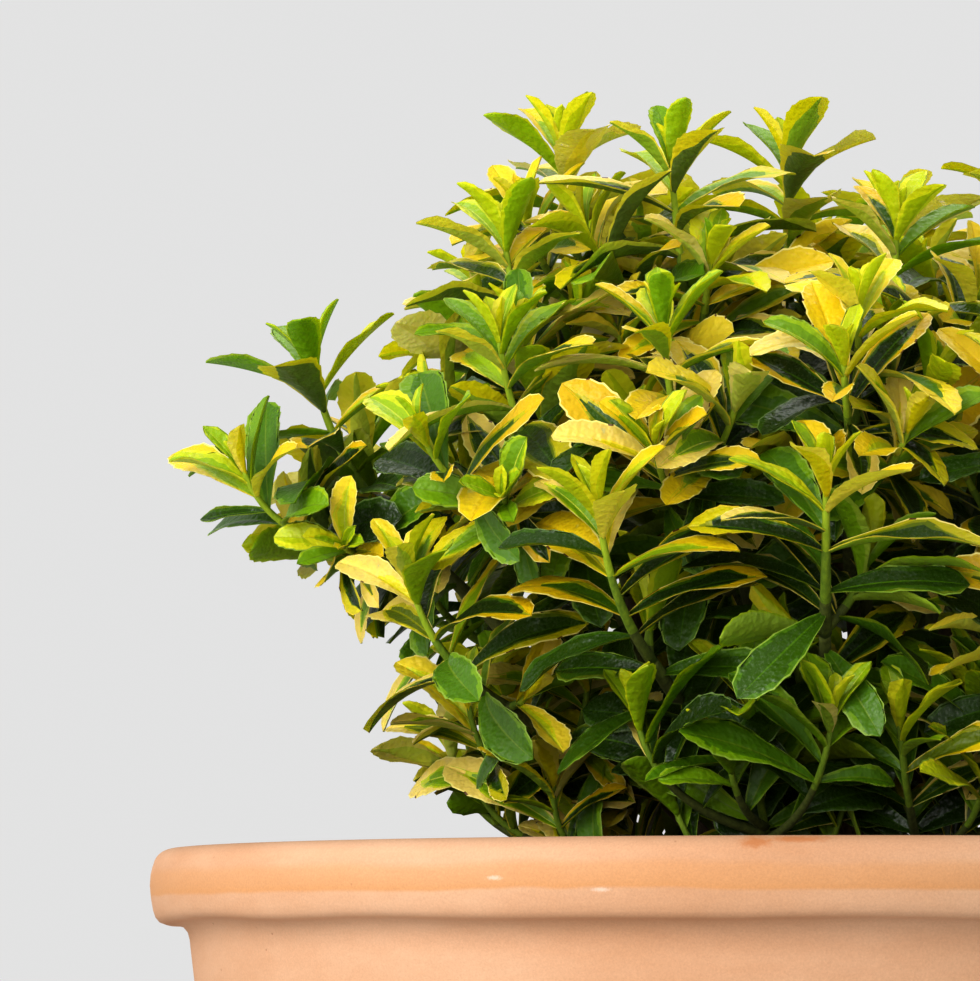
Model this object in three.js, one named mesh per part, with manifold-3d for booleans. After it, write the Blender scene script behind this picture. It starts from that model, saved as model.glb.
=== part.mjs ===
// Potted euonymus: a rolled-rim clay pot filled with soil, and a bushy variegated shrub.
// Millimetres, +Z up. The origin is the centre of the pot's flat underside.
// The photographed side faces -Y, with +X to the right.
import * as THREE from "three";
import { mergeVertices } from "three/addons/utils/BufferGeometryUtils.js";
import Module from "manifold-3d";

const wasm = await Module();
wasm.setup();

// Driving dimensions of the pot
const POT_HEIGHT = 360;
const RIM_RADIUS = 220;
const ROLL_HEIGHT = 26;
const ROLL_OVERHANG = 13;
const ROLL_CORNER = 6;
const ROLL_SPRING = 8;
const HOLLOW_FILLET = 1.5;
const WALL_TAPER = 0.12;
const WALL_THICKNESS = 17;
const LIP_INSET = 11;
const FLOOR_THICKNESS = 18;
const FOOT_EDGE = 4;
const POT_SEGMENTS = 40;

// Driving dimensions of the soil and of the short stem that stands on it
const SOIL_BELOW_RIM = 30;
const SOIL_DISH = 5;
const STEM_SEAT_RADIUS = 42;
const STEM_FLARE_RADIUS = 29;
const STEM_WAIST_RADIUS = 22.4;
const STEM_TOP_RADIUS = 20;
const STEM_CROWN_RADIUS = 12;
const STEM_HEIGHT = 27;
const STEM_WAIST_HEIGHT = 12.15;
const STEM_SHOULDER = 8;
const STEM_SIDES = 15;
const STEM_RIBS = 5;
const STEM_RIB_DEPTH = 0.09;

// Driving dimensions of the crown and of its boughs
const CLEARANCE = 0.3;
const CROWN_RADIUS = 216;
const HEART_HEIGHT = 20;
const OVER_RIM_CLEARANCE = 2;
const OVER_SOIL_CLEARANCE = 8;
const BORDER_MARGIN = 0.5;
const SHOOT_MARGIN = 4;
const INNER_RING_REACH = 80;
const BOUGH_FOOT_RADIUS = 3.6;
const BOUGH_TIP_RADIUS = 2;
const SIDE_BOUGH_FOOT_RADIUS = 2.6;
const BOUGH_SIDES = 5;
const BOUGH_STEPS = 4;
const BOUGH_LEAVE_SHARE = 0.36;
const BOUGH_ARRIVE_SHARE = 0.3;

// Boughs leave the stem in two rings: steep ones from its crown, slanting ones from its side
const INNER_RING = { height: 16.2, radius: 7, spread: 0.3, rise: 0.95 };
const OUTER_RING = { height: 9.45, radius: 12, spread: 0.75, rise: 0.66 };
const LOW_LEADER_HEIGHT = 6.75;

// Driving dimensions of the shoots and leaves
const TWIG_RADIUS = 2.1;
const SHOOT_RADIUS = 1.9;
const SHOOT_TIP_RADIUS = 1.5;
const SHOOT_BOUGH_CLEARANCE = 2.6;
const TWIG_SIDES = 3;
const SIDE_SHOOTS = 3;
const LEADER_TOP_SHARE = 0.3;
const LEAF_SHARE = 1.02;
const LEAF_HALF_WIDTH = 0.205;
const LEAF_THICKNESS = 0.045;
const LEAF_WIDEST = 0.58;
const LEAF_ARCH = 0.04;
const LEAF_FOLD = 0.25;
const LEAF_TIP_DROP = 0.1;
const LEAF_ROOT = 0.7;
const LEAF_BOUGH_CLEARANCE = 1.5;
const LEAF_SHOOT_GAP = 6;
const LEAST_LEAVES = 3;
const LEAF_TRIES = [1, 0.86, 0.72].flatMap((share) => [0, 0.4, -0.4].map((sway) => [share, sway]));

const GOLDEN_ANGLE = 2.399963;
const SEED = 44;
const MASS_SEED_STEP = 7919;
const SHOOT_SEED_STEP = 131;
const RIM = POT_HEIGHT;
const SOIL_TOP = RIM - SOIL_BELOW_RIM;
const UP = new THREE.Vector3(0, 0, 1);
const HEART = new THREE.Vector3(0, 0, RIM + HEART_HEIGHT);

// Leaf pairs on a shoot: distance back from its tip, size, and angle from the shoot in degrees
const LEAF_PAIRS = [
  { back: 3, size: 0.72, angle: 28 },
  { back: 11, size: 1, angle: 58 },
  { back: 23, size: 1, angle: 84 },
  { back: 38, size: 0.9, angle: 96 },
];

// Masses of foliage: centre in X, Y and above the rim, reach, and the limb that carries it.
// A mass on "stem" has a bough of its own from the stem, which leaves at the exit's bearing.
// One on another mass's bough forks from it at the given fraction of its length.
// A low mass, on "none", has no bough and grows straight from the side of the stem.
const MASSES = [
  { name: "left_spur", at: [-158, -6, 125], reach: 60, on: "stem", exit: 176 },
  { name: "left_shoulder", at: [-97, -40, 166], reach: 52, on: "left_cheek", fork: 0.5 },
  { name: "crest", at: [-82, 24, 199], reach: 59, on: "stem", exit: 160 },
  { name: "front_brow", at: [-45, -47, 187], reach: 54, on: "stem", exit: 232 },
  { name: "crown_top", at: [-10, 22, 193], reach: 60, on: "stem", exit: 88 },
  { name: "right_brow", at: [24, -54, 168], reach: 50, on: "stem", exit: 304 },
  { name: "far_top", at: [24, 86, 180], reach: 60, on: "crown_top", fork: 0.5 },
  { name: "right_top", at: [72, -4, 178], reach: 60, on: "stem", exit: 16 },
  { name: "left_cheek", at: [-96, -94, 130], reach: 50, on: "stem", exit: 215 },
  { name: "front_heart", at: [-46, -116, 132], reach: 48, on: "front_brow", fork: 0.42 },
  { name: "right_cheek", at: [12, -116, 138], reach: 48, on: "right_brow", fork: 0.45 },
  { name: "front_chest", at: [-64, -144, 74], reach: 52, on: "stem", exit: 242 },
  { name: "front_lance", at: [2, -152, 82], reach: 50, on: "stem", exit: 276 },
  { name: "left_hem", at: [-122, -84, 58], reach: 52, on: "left_cheek", fork: 0.3 },
  { name: "right_bosom", at: [74, -104, 126], reach: 54, on: "stem", exit: 316 },
  { name: "right_hem", at: [86, -132, 62], reach: 56, on: "right_bosom", fork: 0.36 },
  { name: "right_spur", at: [154, -26, 118], reach: 60, on: "stem", exit: 345 },
  { name: "right_skirt", at: [142, -70, 54], reach: 55, on: "right_spur", fork: 0.36 },
  { name: "right_shoulder", at: [120, 42, 156], reach: 60, on: "right_top", fork: 0.5 },
  { name: "right_back", at: [132, 82, 84], reach: 60, on: "stem", exit: 33 },
  { name: "back_right", at: [62, 138, 110], reach: 60, on: "stem", exit: 56 },
  { name: "back_left", at: [-34, 140, 122], reach: 60, on: "stem", exit: 105 },
  { name: "back_crest", at: [-70, 92, 168], reach: 60, on: "crest", fork: 0.5 },
  { name: "left_back", at: [-128, 80, 92], reach: 60, on: "crest", fork: 0.3 },
  { name: "front_low", at: [-20, -106, 36], reach: 50, on: "none" },
  { name: "right_front_low", at: [44, -90, 40], reach: 50, on: "none" },
  { name: "right_low", at: [102, 6, 46], reach: 54, on: "none" },
  { name: "back_right_low", at: [28, 110, 40], reach: 54, on: "none" },
  { name: "back_left_low", at: [-64, 90, 40], reach: 54, on: "none" },
  { name: "left_low", at: [-94, -24, 44], reach: 54, on: "none" },
];

// Repeatable noise in whole numbers, one stream for each shoot
function stream(seed) {
  let state = seed;
  const draw = () => {
    state = (state * 1664525 + 1013904223) % 4294967296;
    return state / 4294967296;
  };
  for (let i = 0; i < 4; i += 1) draw();
  return draw;
}

const between = (draw, low, high) => low + (high - low) * draw();
const radians = (degrees) => (degrees * Math.PI) / 180;
const blend = (a, p, b, q) => a.clone().multiplyScalar(p).addScaledVector(b, q).normalize();

// A closed geometry becomes a solid that can be joined and cut
function toSolid(geometry) {
  const bare = geometry.clone();
  bare.deleteAttribute("normal");
  bare.deleteAttribute("uv");
  const merged = mergeVertices(bare, 1e-4);
  const corners = merged.index.array;
  const kept = [];
  for (let i = 0; i < corners.length; i += 3) {
    const [a, b, c] = [corners[i], corners[i + 1], corners[i + 2]];
    if (a !== b && b !== c && c !== a) kept.push(a, b, c);
  }
  const vertProperties = merged.attributes.position.array;
  const mesh = new wasm.Mesh({ numProp: 3, vertProperties, triVerts: Uint32Array.from(kept) });
  return new wasm.Manifold(mesh);
}

// Only the largest shell of a joined solid is kept: loose scraps go and sealed hollows fill
function toGeometry(solid) {
  const { vertProperties, triVerts } = solid.getMesh();
  const parent = Array.from({ length: vertProperties.length / 3 }, (_, i) => i);
  const find = (i) => {
    let top = i;
    while (parent[top] !== top) top = parent[top];
    parent[i] = top;
    return top;
  };
  for (let i = 0; i < triVerts.length; i += 3) {
    parent[find(triVerts[i])] = find(triVerts[i + 1]);
    parent[find(triVerts[i + 1])] = find(triVerts[i + 2]);
  }
  const shells = new Map();
  for (let i = 0; i < triVerts.length; i += 3) {
    const shell = find(triVerts[i]);
    if (!shells.has(shell)) shells.set(shell, []);
    shells.get(shell).push(triVerts[i], triVerts[i + 1], triVerts[i + 2]);
  }
  const largest = [...shells.values()].sort((a, b) => b.length - a.length)[0];
  const geometry = new THREE.BufferGeometry();
  geometry.setAttribute("position", new THREE.BufferAttribute(vertProperties.slice(), 3));
  geometry.setIndex(largest);
  const faceted = geometry.toNonIndexed();
  faceted.computeVertexNormals();
  return faceted;
}

function lathe(points, segments) {
  const profile = points.map(([radius, height]) => new THREE.Vector2(radius, height));
  const geometry = new THREE.LatheGeometry(profile, segments);
  return geometry.rotateX(Math.PI / 2);
}

// Points along a circular arc from one angle to another, in degrees
function arc(centreRadius, centreHeight, radius, from, to, steps) {
  return Array.from({ length: steps + 1 }, (_, i) => {
    const angle = radians(from + ((to - from) * i) / steps);
    return [centreRadius + radius * Math.cos(angle), centreHeight + radius * Math.sin(angle)];
  });
}

// Pot sizes that both the clay and the soil need
const ROLL_BOTTOM = RIM - ROLL_HEIGHT;
const WALL_TOP_RADIUS = RIM_RADIUS - ROLL_OVERHANG;
const BASE_RADIUS = WALL_TOP_RADIUS - WALL_TAPER * ROLL_BOTTOM;
const INNER_TOP_RADIUS = WALL_TOP_RADIUS - WALL_THICKNESS;
const innerRadius = (height) => INNER_TOP_RADIUS - WALL_TAPER * (ROLL_BOTTOM - height);

// Clay pot: flat foot, tapered wall, and a rolled rim that bulges out over a small hollow
function pot() {
  const rollRadius = RIM_RADIUS - ROLL_CORNER;
  const lipRadius = INNER_TOP_RADIUS + LIP_INSET;
  const outline = [
    [0, 0],
    [BASE_RADIUS - FOOT_EDGE, 0],
    [BASE_RADIUS, FOOT_EDGE],
    [WALL_TOP_RADIUS - WALL_TAPER * ROLL_SPRING, ROLL_BOTTOM - ROLL_SPRING],
    [WALL_TOP_RADIUS + CLEARANCE * 4, ROLL_BOTTOM - HOLLOW_FILLET],
    ...arc(rollRadius, ROLL_BOTTOM + ROLL_CORNER, ROLL_CORNER, -90, -15, 2),
    ...arc(rollRadius, RIM - ROLL_CORNER, ROLL_CORNER, 15, 90, 2),
    ...arc(lipRadius, RIM - ROLL_CORNER, ROLL_CORNER, 90, 180, 2),
    [innerRadius(ROLL_BOTTOM), ROLL_BOTTOM],
    [innerRadius(FLOOR_THICKNESS), FLOOR_THICKNESS],
    [0, FLOOR_THICKNESS],
  ];
  return lathe(outline, POT_SEGMENTS);
}

// Soil fills the pot from its floor, slightly dished towards the wall
function soil() {
  const floor = FLOOR_THICKNESS + CLEARANCE;
  const edge = SOIL_TOP - SOIL_DISH;
  const outline = [
    [0, floor],
    [innerRadius(floor) - CLEARANCE, floor],
    [innerRadius(edge) - CLEARANCE, edge],
    [STEM_SEAT_RADIUS, SOIL_TOP],
    [0, SOIL_TOP],
  ];
  return lathe(outline, POT_SEGMENTS);
}

// Short ribbed stem with its root flare, from its flat cut on the soil to its fork.
// A margin thickens it all round, for cutting what grows from it clear of it.
function stem(margin) {
  const foot = SOIL_TOP + CLEARANCE - margin;
  const top = SOIL_TOP + STEM_HEIGHT + margin;
  const outline = [
    [0, foot],
    [STEM_FLARE_RADIUS + margin, foot],
    [STEM_WAIST_RADIUS + margin, SOIL_TOP + STEM_WAIST_HEIGHT],
    [STEM_TOP_RADIUS + margin, top - STEM_SHOULDER],
    [STEM_CROWN_RADIUS + margin, top],
    [0, top],
  ];
  const geometry = lathe(outline, STEM_SIDES);
  const places = geometry.attributes.position;
  for (let i = 0; i < places.count; i += 1) {
    const bearing = Math.atan2(places.getY(i), places.getX(i));
    const rib = 1 + STEM_RIB_DEPTH * Math.cos(STEM_RIBS * bearing);
    places.setXY(i, places.getX(i) * rib, places.getY(i) * rib);
  }
  return geometry;
}

// A lathed cone is bent along a curve: one limb that tapers from its foot to its tip.
// A margin thickens it all round, for cutting its neighbours clear of it.
function taperedLimb(curve, foot, tip, sides, steps, margin = 0) {
  const profile = [new THREE.Vector2(0, 0)];
  for (let i = 0; i <= steps; i += 1) {
    profile.push(new THREE.Vector2(foot + ((tip - foot) * i) / steps + margin, i));
  }
  profile.push(new THREE.Vector2(0, steps));
  const geometry = new THREE.LatheGeometry(profile, sides);
  const frames = curve.computeFrenetFrames(steps);
  const places = geometry.attributes.position;
  for (let i = 0; i < places.count; i += 1) {
    const ring = Math.round(places.getY(i));
    const place = curve.getPointAt(ring / steps);
    place.addScaledVector(frames.normals[ring], places.getX(i));
    place.addScaledVector(frames.binormals[ring], -places.getZ(i));
    places.setXYZ(i, place.x, place.y, place.z);
  }
  return geometry;
}

// The crown's layout: each mass's centre and the way it grows, out from the heart and up
const masses = MASSES.map((mass, index) => {
  const centre = new THREE.Vector3(mass.at[0], mass.at[1], RIM + mass.at[2]);
  const outward = centre.clone().sub(HEART).normalize();
  return { ...mass, index, centre, outward: blend(outward, 1, UP, 0.25) };
});

// How far a point lies inside the flat border that a mass shares with a neighbour
function borderDistance(mass, other, point) {
  const across = other.centre.clone().sub(mass.centre);
  const gap = across.length();
  const share = (gap * gap + mass.reach * mass.reach - other.reach * other.reach) / (2 * gap);
  return share - point.clone().sub(mass.centre).dot(across) / gap;
}

function inOwnSpace(mass, point, margin) {
  if (point.distanceTo(mass.centre) > mass.reach - margin) return false;
  const fromAxis = Math.hypot(point.x, point.y);
  if (fromAxis > CROWN_RADIUS) return false;
  const overClay = fromAxis > innerRadius(RIM) - OVER_SOIL_CLEARANCE;
  if (point.z < (overClay ? RIM + OVER_RIM_CLEARANCE : SOIL_TOP + OVER_SOIL_CLEARANCE)) return false;
  return masses.every((other) => other === mass || borderDistance(mass, other, point) > margin);
}

// A mass's stem starts as far back towards the heart as its own space allows
function rootOf(mass) {
  const root = mass.centre.clone();
  for (let back = 0; back < mass.reach * 0.8; back += 1) {
    const further = mass.centre.clone().addScaledVector(mass.outward, -back);
    if (!inOwnSpace(mass, further, SHOOT_MARGIN)) break;
    root.copy(further);
  }
  return root;
}

// Bough curves run from the stem or from a fork on another bough to a mass's root
const boughs = new Map();
function layBough(mass) {
  const root = rootOf(mass);
  let start;
  let heading;
  if (mass.on === "stem") {
    const exit = new THREE.Vector3(Math.cos(radians(mass.exit)), Math.sin(radians(mass.exit)), 0);
    const ring = Math.hypot(root.x, root.y) < INNER_RING_REACH ? INNER_RING : OUTER_RING;
    start = new THREE.Vector3(0, 0, SOIL_TOP + ring.height).addScaledVector(exit, ring.radius);
    heading = blend(exit, ring.spread, UP, ring.rise);
  } else {
    const carrier = boughs.get(mass.on).curve;
    start = carrier.getPointAt(mass.fork);
    const onward = root.clone().sub(start).normalize();
    heading = blend(carrier.getTangentAt(mass.fork), 0.35, onward, 1);
  }
  const span = root.distanceTo(start);
  const leave = start.clone().addScaledVector(heading, span * BOUGH_LEAVE_SHARE);
  const arrive = root.clone().addScaledVector(mass.outward, -span * BOUGH_ARRIVE_SHARE);
  const curve = new THREE.CubicBezierCurve3(start, leave, arrive, root);
  const foot = mass.on === "stem" ? BOUGH_FOOT_RADIUS : SIDE_BOUGH_FOOT_RADIUS;
  boughs.set(mass.name, { mass, curve, foot });
}
masses.filter((mass) => mass.on === "stem").forEach(layBough);
masses.filter((mass) => boughs.has(mass.on)).forEach(layBough);

function boughGeometry({ curve, foot }, margin) {
  return taperedLimb(curve, foot, BOUGH_TIP_RADIUS, BOUGH_SIDES, BOUGH_STEPS, margin);
}

// Points down the middle of every bough, with the bough's radius there
const boughPoints = [...boughs.values()].flatMap(({ curve, foot }) => {
  const count = Math.ceil(curve.getLength() / 2);
  return Array.from({ length: count + 1 }, (_, i) => ({
    place: curve.getPointAt(i / count),
    radius: foot + ((BOUGH_TIP_RADIUS - foot) * i) / count,
  }));
});

function clearOfBoughs(point, clearance) {
  return boughPoints.every(({ place, radius }) => point.distanceTo(place) > radius + clearance);
}

// Points along a straight line, no further apart than the spacing
function alongLine(from, to, spacing) {
  const count = Math.max(1, Math.ceil(from.distanceTo(to) / spacing));
  return Array.from({ length: count + 1 }, (_, i) => from.clone().lerp(to, i / count));
}

// A shoot leaves in one direction and turns to another; a quadratic curve joins the two
function shootCurve(start, leave, arrive, length) {
  const turn = start.clone().addScaledVector(leave, length / 2);
  const tip = turn.clone().addScaledVector(arrive, length / 2);
  return new THREE.QuadraticBezierCurve3(start, turn, tip);
}

// The way that points at a given turn about a shoot, square to the shoot
function aroundShoot(along, turn) {
  const across = new THREE.Vector3().crossVectors(along, UP);
  if (across.lengthSq() < 1e-4) across.set(1, 0, 0);
  across.normalize();
  const forward = new THREE.Vector3().crossVectors(along, across);
  return blend(across, Math.cos(turn), forward, Math.sin(turn));
}

// The six corners of a leaf: root, tip, two margins, and the rib's upper and lower sides
function leafCorners(node, along, turn, pair, length) {
  const outward = aroundShoot(along, turn);
  const angle = radians(pair.angle);
  const blade = blend(along, Math.cos(angle), outward, Math.sin(angle));
  const face = blend(along, Math.sin(angle), outward, -Math.cos(angle)).addScaledVector(UP, 0.3);
  face.addScaledVector(blade, -face.dot(blade)).normalize();
  const side = new THREE.Vector3().crossVectors(blade, face);
  const at = (run, aside, lift) => node.clone()
    .addScaledVector(blade, run).addScaledVector(side, aside).addScaledVector(face, lift);
  const widest = length * LEAF_WIDEST;
  const half = length * LEAF_HALF_WIDTH;
  const thick = length * LEAF_THICKNESS;
  const arch = length * LEAF_ARCH;
  const marginLift = arch + half * LEAF_FOLD;
  return {
    root: at(-LEAF_ROOT, 0, 0),
    tip: at(length, 0, -length * LEAF_TIP_DROP),
    left: at(widest, -half, marginLift),
    right: at(widest, half, marginLift),
    top: at(widest, 0, arch + thick / 2),
    under: at(widest, 0, arch - thick / 2),
  };
}

const LEAF_FACES = [
  ["root", "left", "top"], ["root", "top", "right"], ["tip", "top", "left"], ["tip", "right", "top"],
  ["root", "under", "left"], ["root", "right", "under"], ["tip", "left", "under"], ["tip", "under", "right"],
];
const LEAF_EDGES = [
  ["root", "tip"], ["left", "right"], ["root", "left"], ["root", "right"], ["left", "tip"], ["right", "tip"],
];
const LEAF_LINES = [
  ["root", "top"], ["top", "tip"], ["left", "right"], ["root", "left"], ["root", "right"], ["left", "tip"],
  ["right", "tip"],
];
const LEAF_OUTER_LINES = [["tip", "top"], ["left", "tip"], ["right", "tip"], ["left", "right"]];

function pointsOn(corners, lines, spacing) {
  return lines.flatMap(([from, to]) => alongLine(corners[from], corners[to], spacing));
}

// True where an outer edge of one leaf passes through a face of the other
function edgesPierce(one, other) {
  const hit = new THREE.Vector3();
  return LEAF_EDGES.some(([from, to]) => {
    const reach = one[from].distanceTo(one[to]);
    const ray = new THREE.Ray(one[from], one[to].clone().sub(one[from]).normalize());
    return LEAF_FACES.some((face) => {
      const [a, b, c] = face.map((corner) => other[corner]);
      return ray.intersectTriangle(a, b, c, false, hit) && hit.distanceTo(one[from]) < reach;
    });
  });
}

function leavesCross(one, other) {
  return edgesPierce(one, other) || edgesPierce(other, one);
}

// A leaf is an octahedron pulled out to its six corners
function leafGeometry(corners) {
  const geometry = new THREE.OctahedronGeometry(1);
  const places = geometry.attributes.position;
  const moved = (x, y, z) => {
    if (Math.abs(x) > 0.5) return x > 0 ? corners.right : corners.left;
    if (Math.abs(y) > 0.5) return y > 0 ? corners.tip : corners.root;
    return z > 0 ? corners.top : corners.under;
  };
  for (let i = 0; i < places.count; i += 1) {
    const corner = moved(places.getX(i), places.getY(i), places.getZ(i));
    places.setXYZ(i, corner.x, corner.y, corner.z);
  }
  return geometry;
}

// A leaf fits where it stays in its mass's space and clear of boughs, shoots and other leaves
function leafFits(mass, corners, otherShoots, otherLeaves) {
  if (!Object.values(corners).every((corner) => inOwnSpace(mass, corner, BORDER_MARGIN))) return false;
  const onLeaf = pointsOn(corners, LEAF_LINES, 2);
  if (!onLeaf.every((point) => clearOfBoughs(point, LEAF_BOUGH_CLEARANCE))) return false;
  const outer = pointsOn(corners, LEAF_OUTER_LINES, 3);
  const clearOf = (place) => outer.every((point) => point.distanceTo(place) > TWIG_RADIUS);
  if (!otherShoots.every((shoot) => shoot.middle.every(clearOf))) return false;
  return !otherLeaves.some((other) => leavesCross(corners, other));
}

// Leaves stand on a shoot in pairs, each pair turned a quarter from the last.
// One that does not fit is tried shorter and swayed a little, then left out.
function addLeaves(mass, shoot, otherShoots, leaves) {
  const { curve, draw } = shoot;
  const length = curve.getLength();
  const firstTurn = between(draw, 0, Math.PI);
  LEAF_PAIRS.forEach((pair, number) => {
    const olderLeaves = leaves.slice();
    for (const half of [0, 1]) {
      const turn = firstTurn + (number * Math.PI) / 2 + half * Math.PI + between(draw, -0.25, 0.25);
      const size = mass.reach * LEAF_SHARE * pair.size * between(draw, 0.88, 1.12);
      if (pair.back > length - LEAF_SHOOT_GAP) continue;
      const place = 1 - pair.back / length;
      const node = curve.getPointAt(place);
      const along = curve.getTangentAt(place);
      const fitting = LEAF_TRIES
        .map(([share, sway]) => leafCorners(node, along, turn + sway, pair, size * share))
        .find((corners) => leafFits(mass, corners, otherShoots, olderLeaves));
      if (fitting) leaves.push(fitting);
    }
  });
}

function makeShoot(curve, draw, foot) {
  const middle = alongLine(curve.getPoint(0), curve.getPoint(0.5), 2)
    .concat(alongLine(curve.getPoint(0.5), curve.getPoint(1), 2));
  return { curve, draw, foot, middle };
}

// Shoots of one mass: a leader that carries on from its bough, and side shoots up its length
function layShoots(mass) {
  const bough = boughs.get(mass.name);
  const massSeed = MASS_SEED_STEP * (mass.index + SEED);
  const draw = stream(massSeed);
  const start = new THREE.Vector3(0, 0, SOIL_TOP + LOW_LEADER_HEIGHT);
  if (bough) start.copy(bough.curve.getPoint(1)).addScaledVector(mass.outward, CLEARANCE);
  const top = mass.centre.clone().addScaledVector(mass.outward, mass.reach * LEADER_TOP_SHARE);
  const length = start.distanceTo(top);
  const leader = shootCurve(start, mass.outward, top.clone().sub(start).normalize(), length);
  const shoots = [makeShoot(leader, draw, TWIG_RADIUS)];
  const firstTurn = between(draw, 0, Math.PI * 2);
  for (let number = 0; number < SIDE_SHOOTS; number += 1) {
    const shootDraw = stream(massSeed + SHOOT_SEED_STEP * (number + 1));
    const back = mass.reach * (0.95 - (0.5 * number) / SIDE_SHOOTS) * between(shootDraw, 0.9, 1.1);
    const place = Math.max(0.1, 1 - back / length);
    const along = leader.getTangentAt(place);
    const turn = firstTurn + number * GOLDEN_ANGLE + between(shootDraw, -0.3, 0.3);
    const spread = blend(along, 0.55, aroundShoot(along, turn), 0.8);
    const heading = blend(spread, 1, UP, 0.25);
    const span = mass.reach * between(shootDraw, 0.6, 0.85);
    const curve = shootCurve(leader.getPointAt(place), heading, heading, span);
    const shoot = makeShoot(curve, shootDraw, SHOOT_RADIUS);
    const inside = [0.5, 1].every((share) => inOwnSpace(mass, curve.getPoint(share), SHOOT_MARGIN));
    const clear = shoot.middle.every((point) => clearOfBoughs(point, SHOOT_BOUGH_CLEARANCE));
    if (inside && clear) shoots.push(shoot);
  }
  return shoots;
}

// One mass of foliage: its shoots and their leaves, joined. A side shoot left with too few
// leaves is dropped with them.
function foliage(mass) {
  const shoots = layShoots(mass);
  const leaves = [];
  const twigs = [];
  shoots.forEach((shoot, number) => {
    const before = leaves.length;
    addLeaves(mass, shoot, shoots.filter((other) => other !== shoot), leaves);
    if (number > 0 && leaves.length - before < LEAST_LEAVES) leaves.length = before;
    else twigs.push(taperedLimb(shoot.curve, shoot.foot, SHOOT_TIP_RADIUS, TWIG_SIDES, 1));
  });
  const pieces = twigs.concat(leaves.map(leafGeometry)).map(toSolid);
  return pieces.reduce((whole, piece) => whole.add(piece));
}

const clay = new THREE.MeshStandardMaterial({ color: 0xdf9f6c, roughness: 0.8, metalness: 0 });
const compost = new THREE.MeshStandardMaterial({ color: 0x3a2a1e, roughness: 1, metalness: 0 });
const bark = new THREE.MeshStandardMaterial({ color: 0x6b5a3e, roughness: 0.9, metalness: 0 });
const leafGreen = new THREE.MeshStandardMaterial({ color: 0x8c9a2f, roughness: 0.45, metalness: 0 });

const plant = new THREE.Group();
function addPart(name, geometry, material) {
  const mesh = new THREE.Mesh(geometry, material);
  mesh.name = name;
  plant.add(mesh);
}

addPart("pot", pot(), clay);
addPart("soil", soil(), compost);
addPart("stem", stem(0), bark);

// Each bough is cut clear of the stem or of the bough that it forks from
const stemCutter = toSolid(stem(CLEARANCE));
for (const [name, bough] of boughs) {
  const carrier = boughs.get(bough.mass.on);
  const cutter = carrier ? toSolid(boughGeometry(carrier, CLEARANCE)) : stemCutter;
  addPart(`bough_${name}`, toGeometry(toSolid(boughGeometry(bough, 0)).subtract(cutter)), bark);
}

for (const mass of masses) {
  addPart(`foliage_${mass.name}`, toGeometry(foliage(mass).subtract(stemCutter)), leafGreen);
}

export default plant;
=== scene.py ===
# Potted euonymus: the looks of a bushy golden-variegated shrub in a rolled-rim clay pot.
# The crown grows by the part's own rule, in millimetres, and meshes are made in metres.
import math
from collections import namedtuple

import bpy
import numpy as np
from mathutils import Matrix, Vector
from mathutils.bvhtree import BVHTree


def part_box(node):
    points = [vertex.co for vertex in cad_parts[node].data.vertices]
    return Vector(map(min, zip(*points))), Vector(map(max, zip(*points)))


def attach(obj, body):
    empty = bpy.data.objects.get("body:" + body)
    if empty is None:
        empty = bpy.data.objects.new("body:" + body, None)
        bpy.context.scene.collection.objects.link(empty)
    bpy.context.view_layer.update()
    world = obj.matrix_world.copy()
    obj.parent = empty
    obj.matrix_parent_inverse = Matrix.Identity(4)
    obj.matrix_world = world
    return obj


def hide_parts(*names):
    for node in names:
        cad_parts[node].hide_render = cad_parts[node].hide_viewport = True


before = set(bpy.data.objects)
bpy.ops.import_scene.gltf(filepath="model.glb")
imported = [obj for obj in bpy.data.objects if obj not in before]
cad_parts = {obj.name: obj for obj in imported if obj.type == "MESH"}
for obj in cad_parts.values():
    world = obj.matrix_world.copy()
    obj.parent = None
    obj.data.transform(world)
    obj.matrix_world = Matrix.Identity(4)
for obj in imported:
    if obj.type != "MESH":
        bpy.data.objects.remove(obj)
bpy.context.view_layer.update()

MM = 0.001
UP = np.array([0.0, 0.0, 1.0])

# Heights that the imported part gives, in millimetres
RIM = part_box("pot")[1][2] / MM
SOIL_FOOT, SOIL_TOP = (corner[2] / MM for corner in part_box("soil"))

# The pot's section. Each outline is points of radius and height.
ROLL_HEIGHT = 24.5
WALL_TOP_RADIUS = 207.0
WALL_TAPER = 0.12
WALL_THICKNESS = 17.0
WALL_START = 12.0
LIP_INSET = 11.0
FLOOR_THICKNESS = 18.0
FOOT_EDGE = 4.0
FILLET_HEIGHT = 7.5
FILLET_OUTLINE = [(0.25, 2.5), (0.9, 5), (2.6, 7), (5.5, 7.8)]
ROLL_OUTLINE = [(214.4, 0.3), (216.4, 1.0), (217.6, 2.4), (218.4, 4.6),
                (219.2, 8.4), (219.7, 12.6), (219.5, 16.0), (218.9, 18.6)]
ROLL_INNER_RADIUS = 206
ROLL_CROWN = {"radius": 212.0, "wide": 6.6, "high": 6.0}
ROLL_FLAT = [(207.0, -0.05), (203.5, -0.05)]
LIP_OUTLINE = [(4, -11), (1.4, -17)]
# The plain inner wall starts this far below the rim
INNER_WALL_START = 26
POT_SEGMENTS = 224

# The stem's outline from its flare to its crown, and its ribs
STEM_HEIGHT = 27.0
STEM_OUTLINE_HEIGHTS = [0, 12.15, 19, STEM_HEIGHT]
STEM_RADII = [29.0, 22.4, 20.0, 12.0]
STEM_INSET = 0.4
STEM_SEGMENTS = 120
STEM_RIBS = 5
STEM_RIB_DEPTH = 0.09

# Compost: how far it dishes from the flat round the stem to the pot's wall, and its loose crumbs
SOIL_FLAT_RADIUS = 42
SOIL_DISH = 5.0
SOIL_RINGS = 64
SOIL_SEGMENTS = 160
CRUMBS = 700

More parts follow.
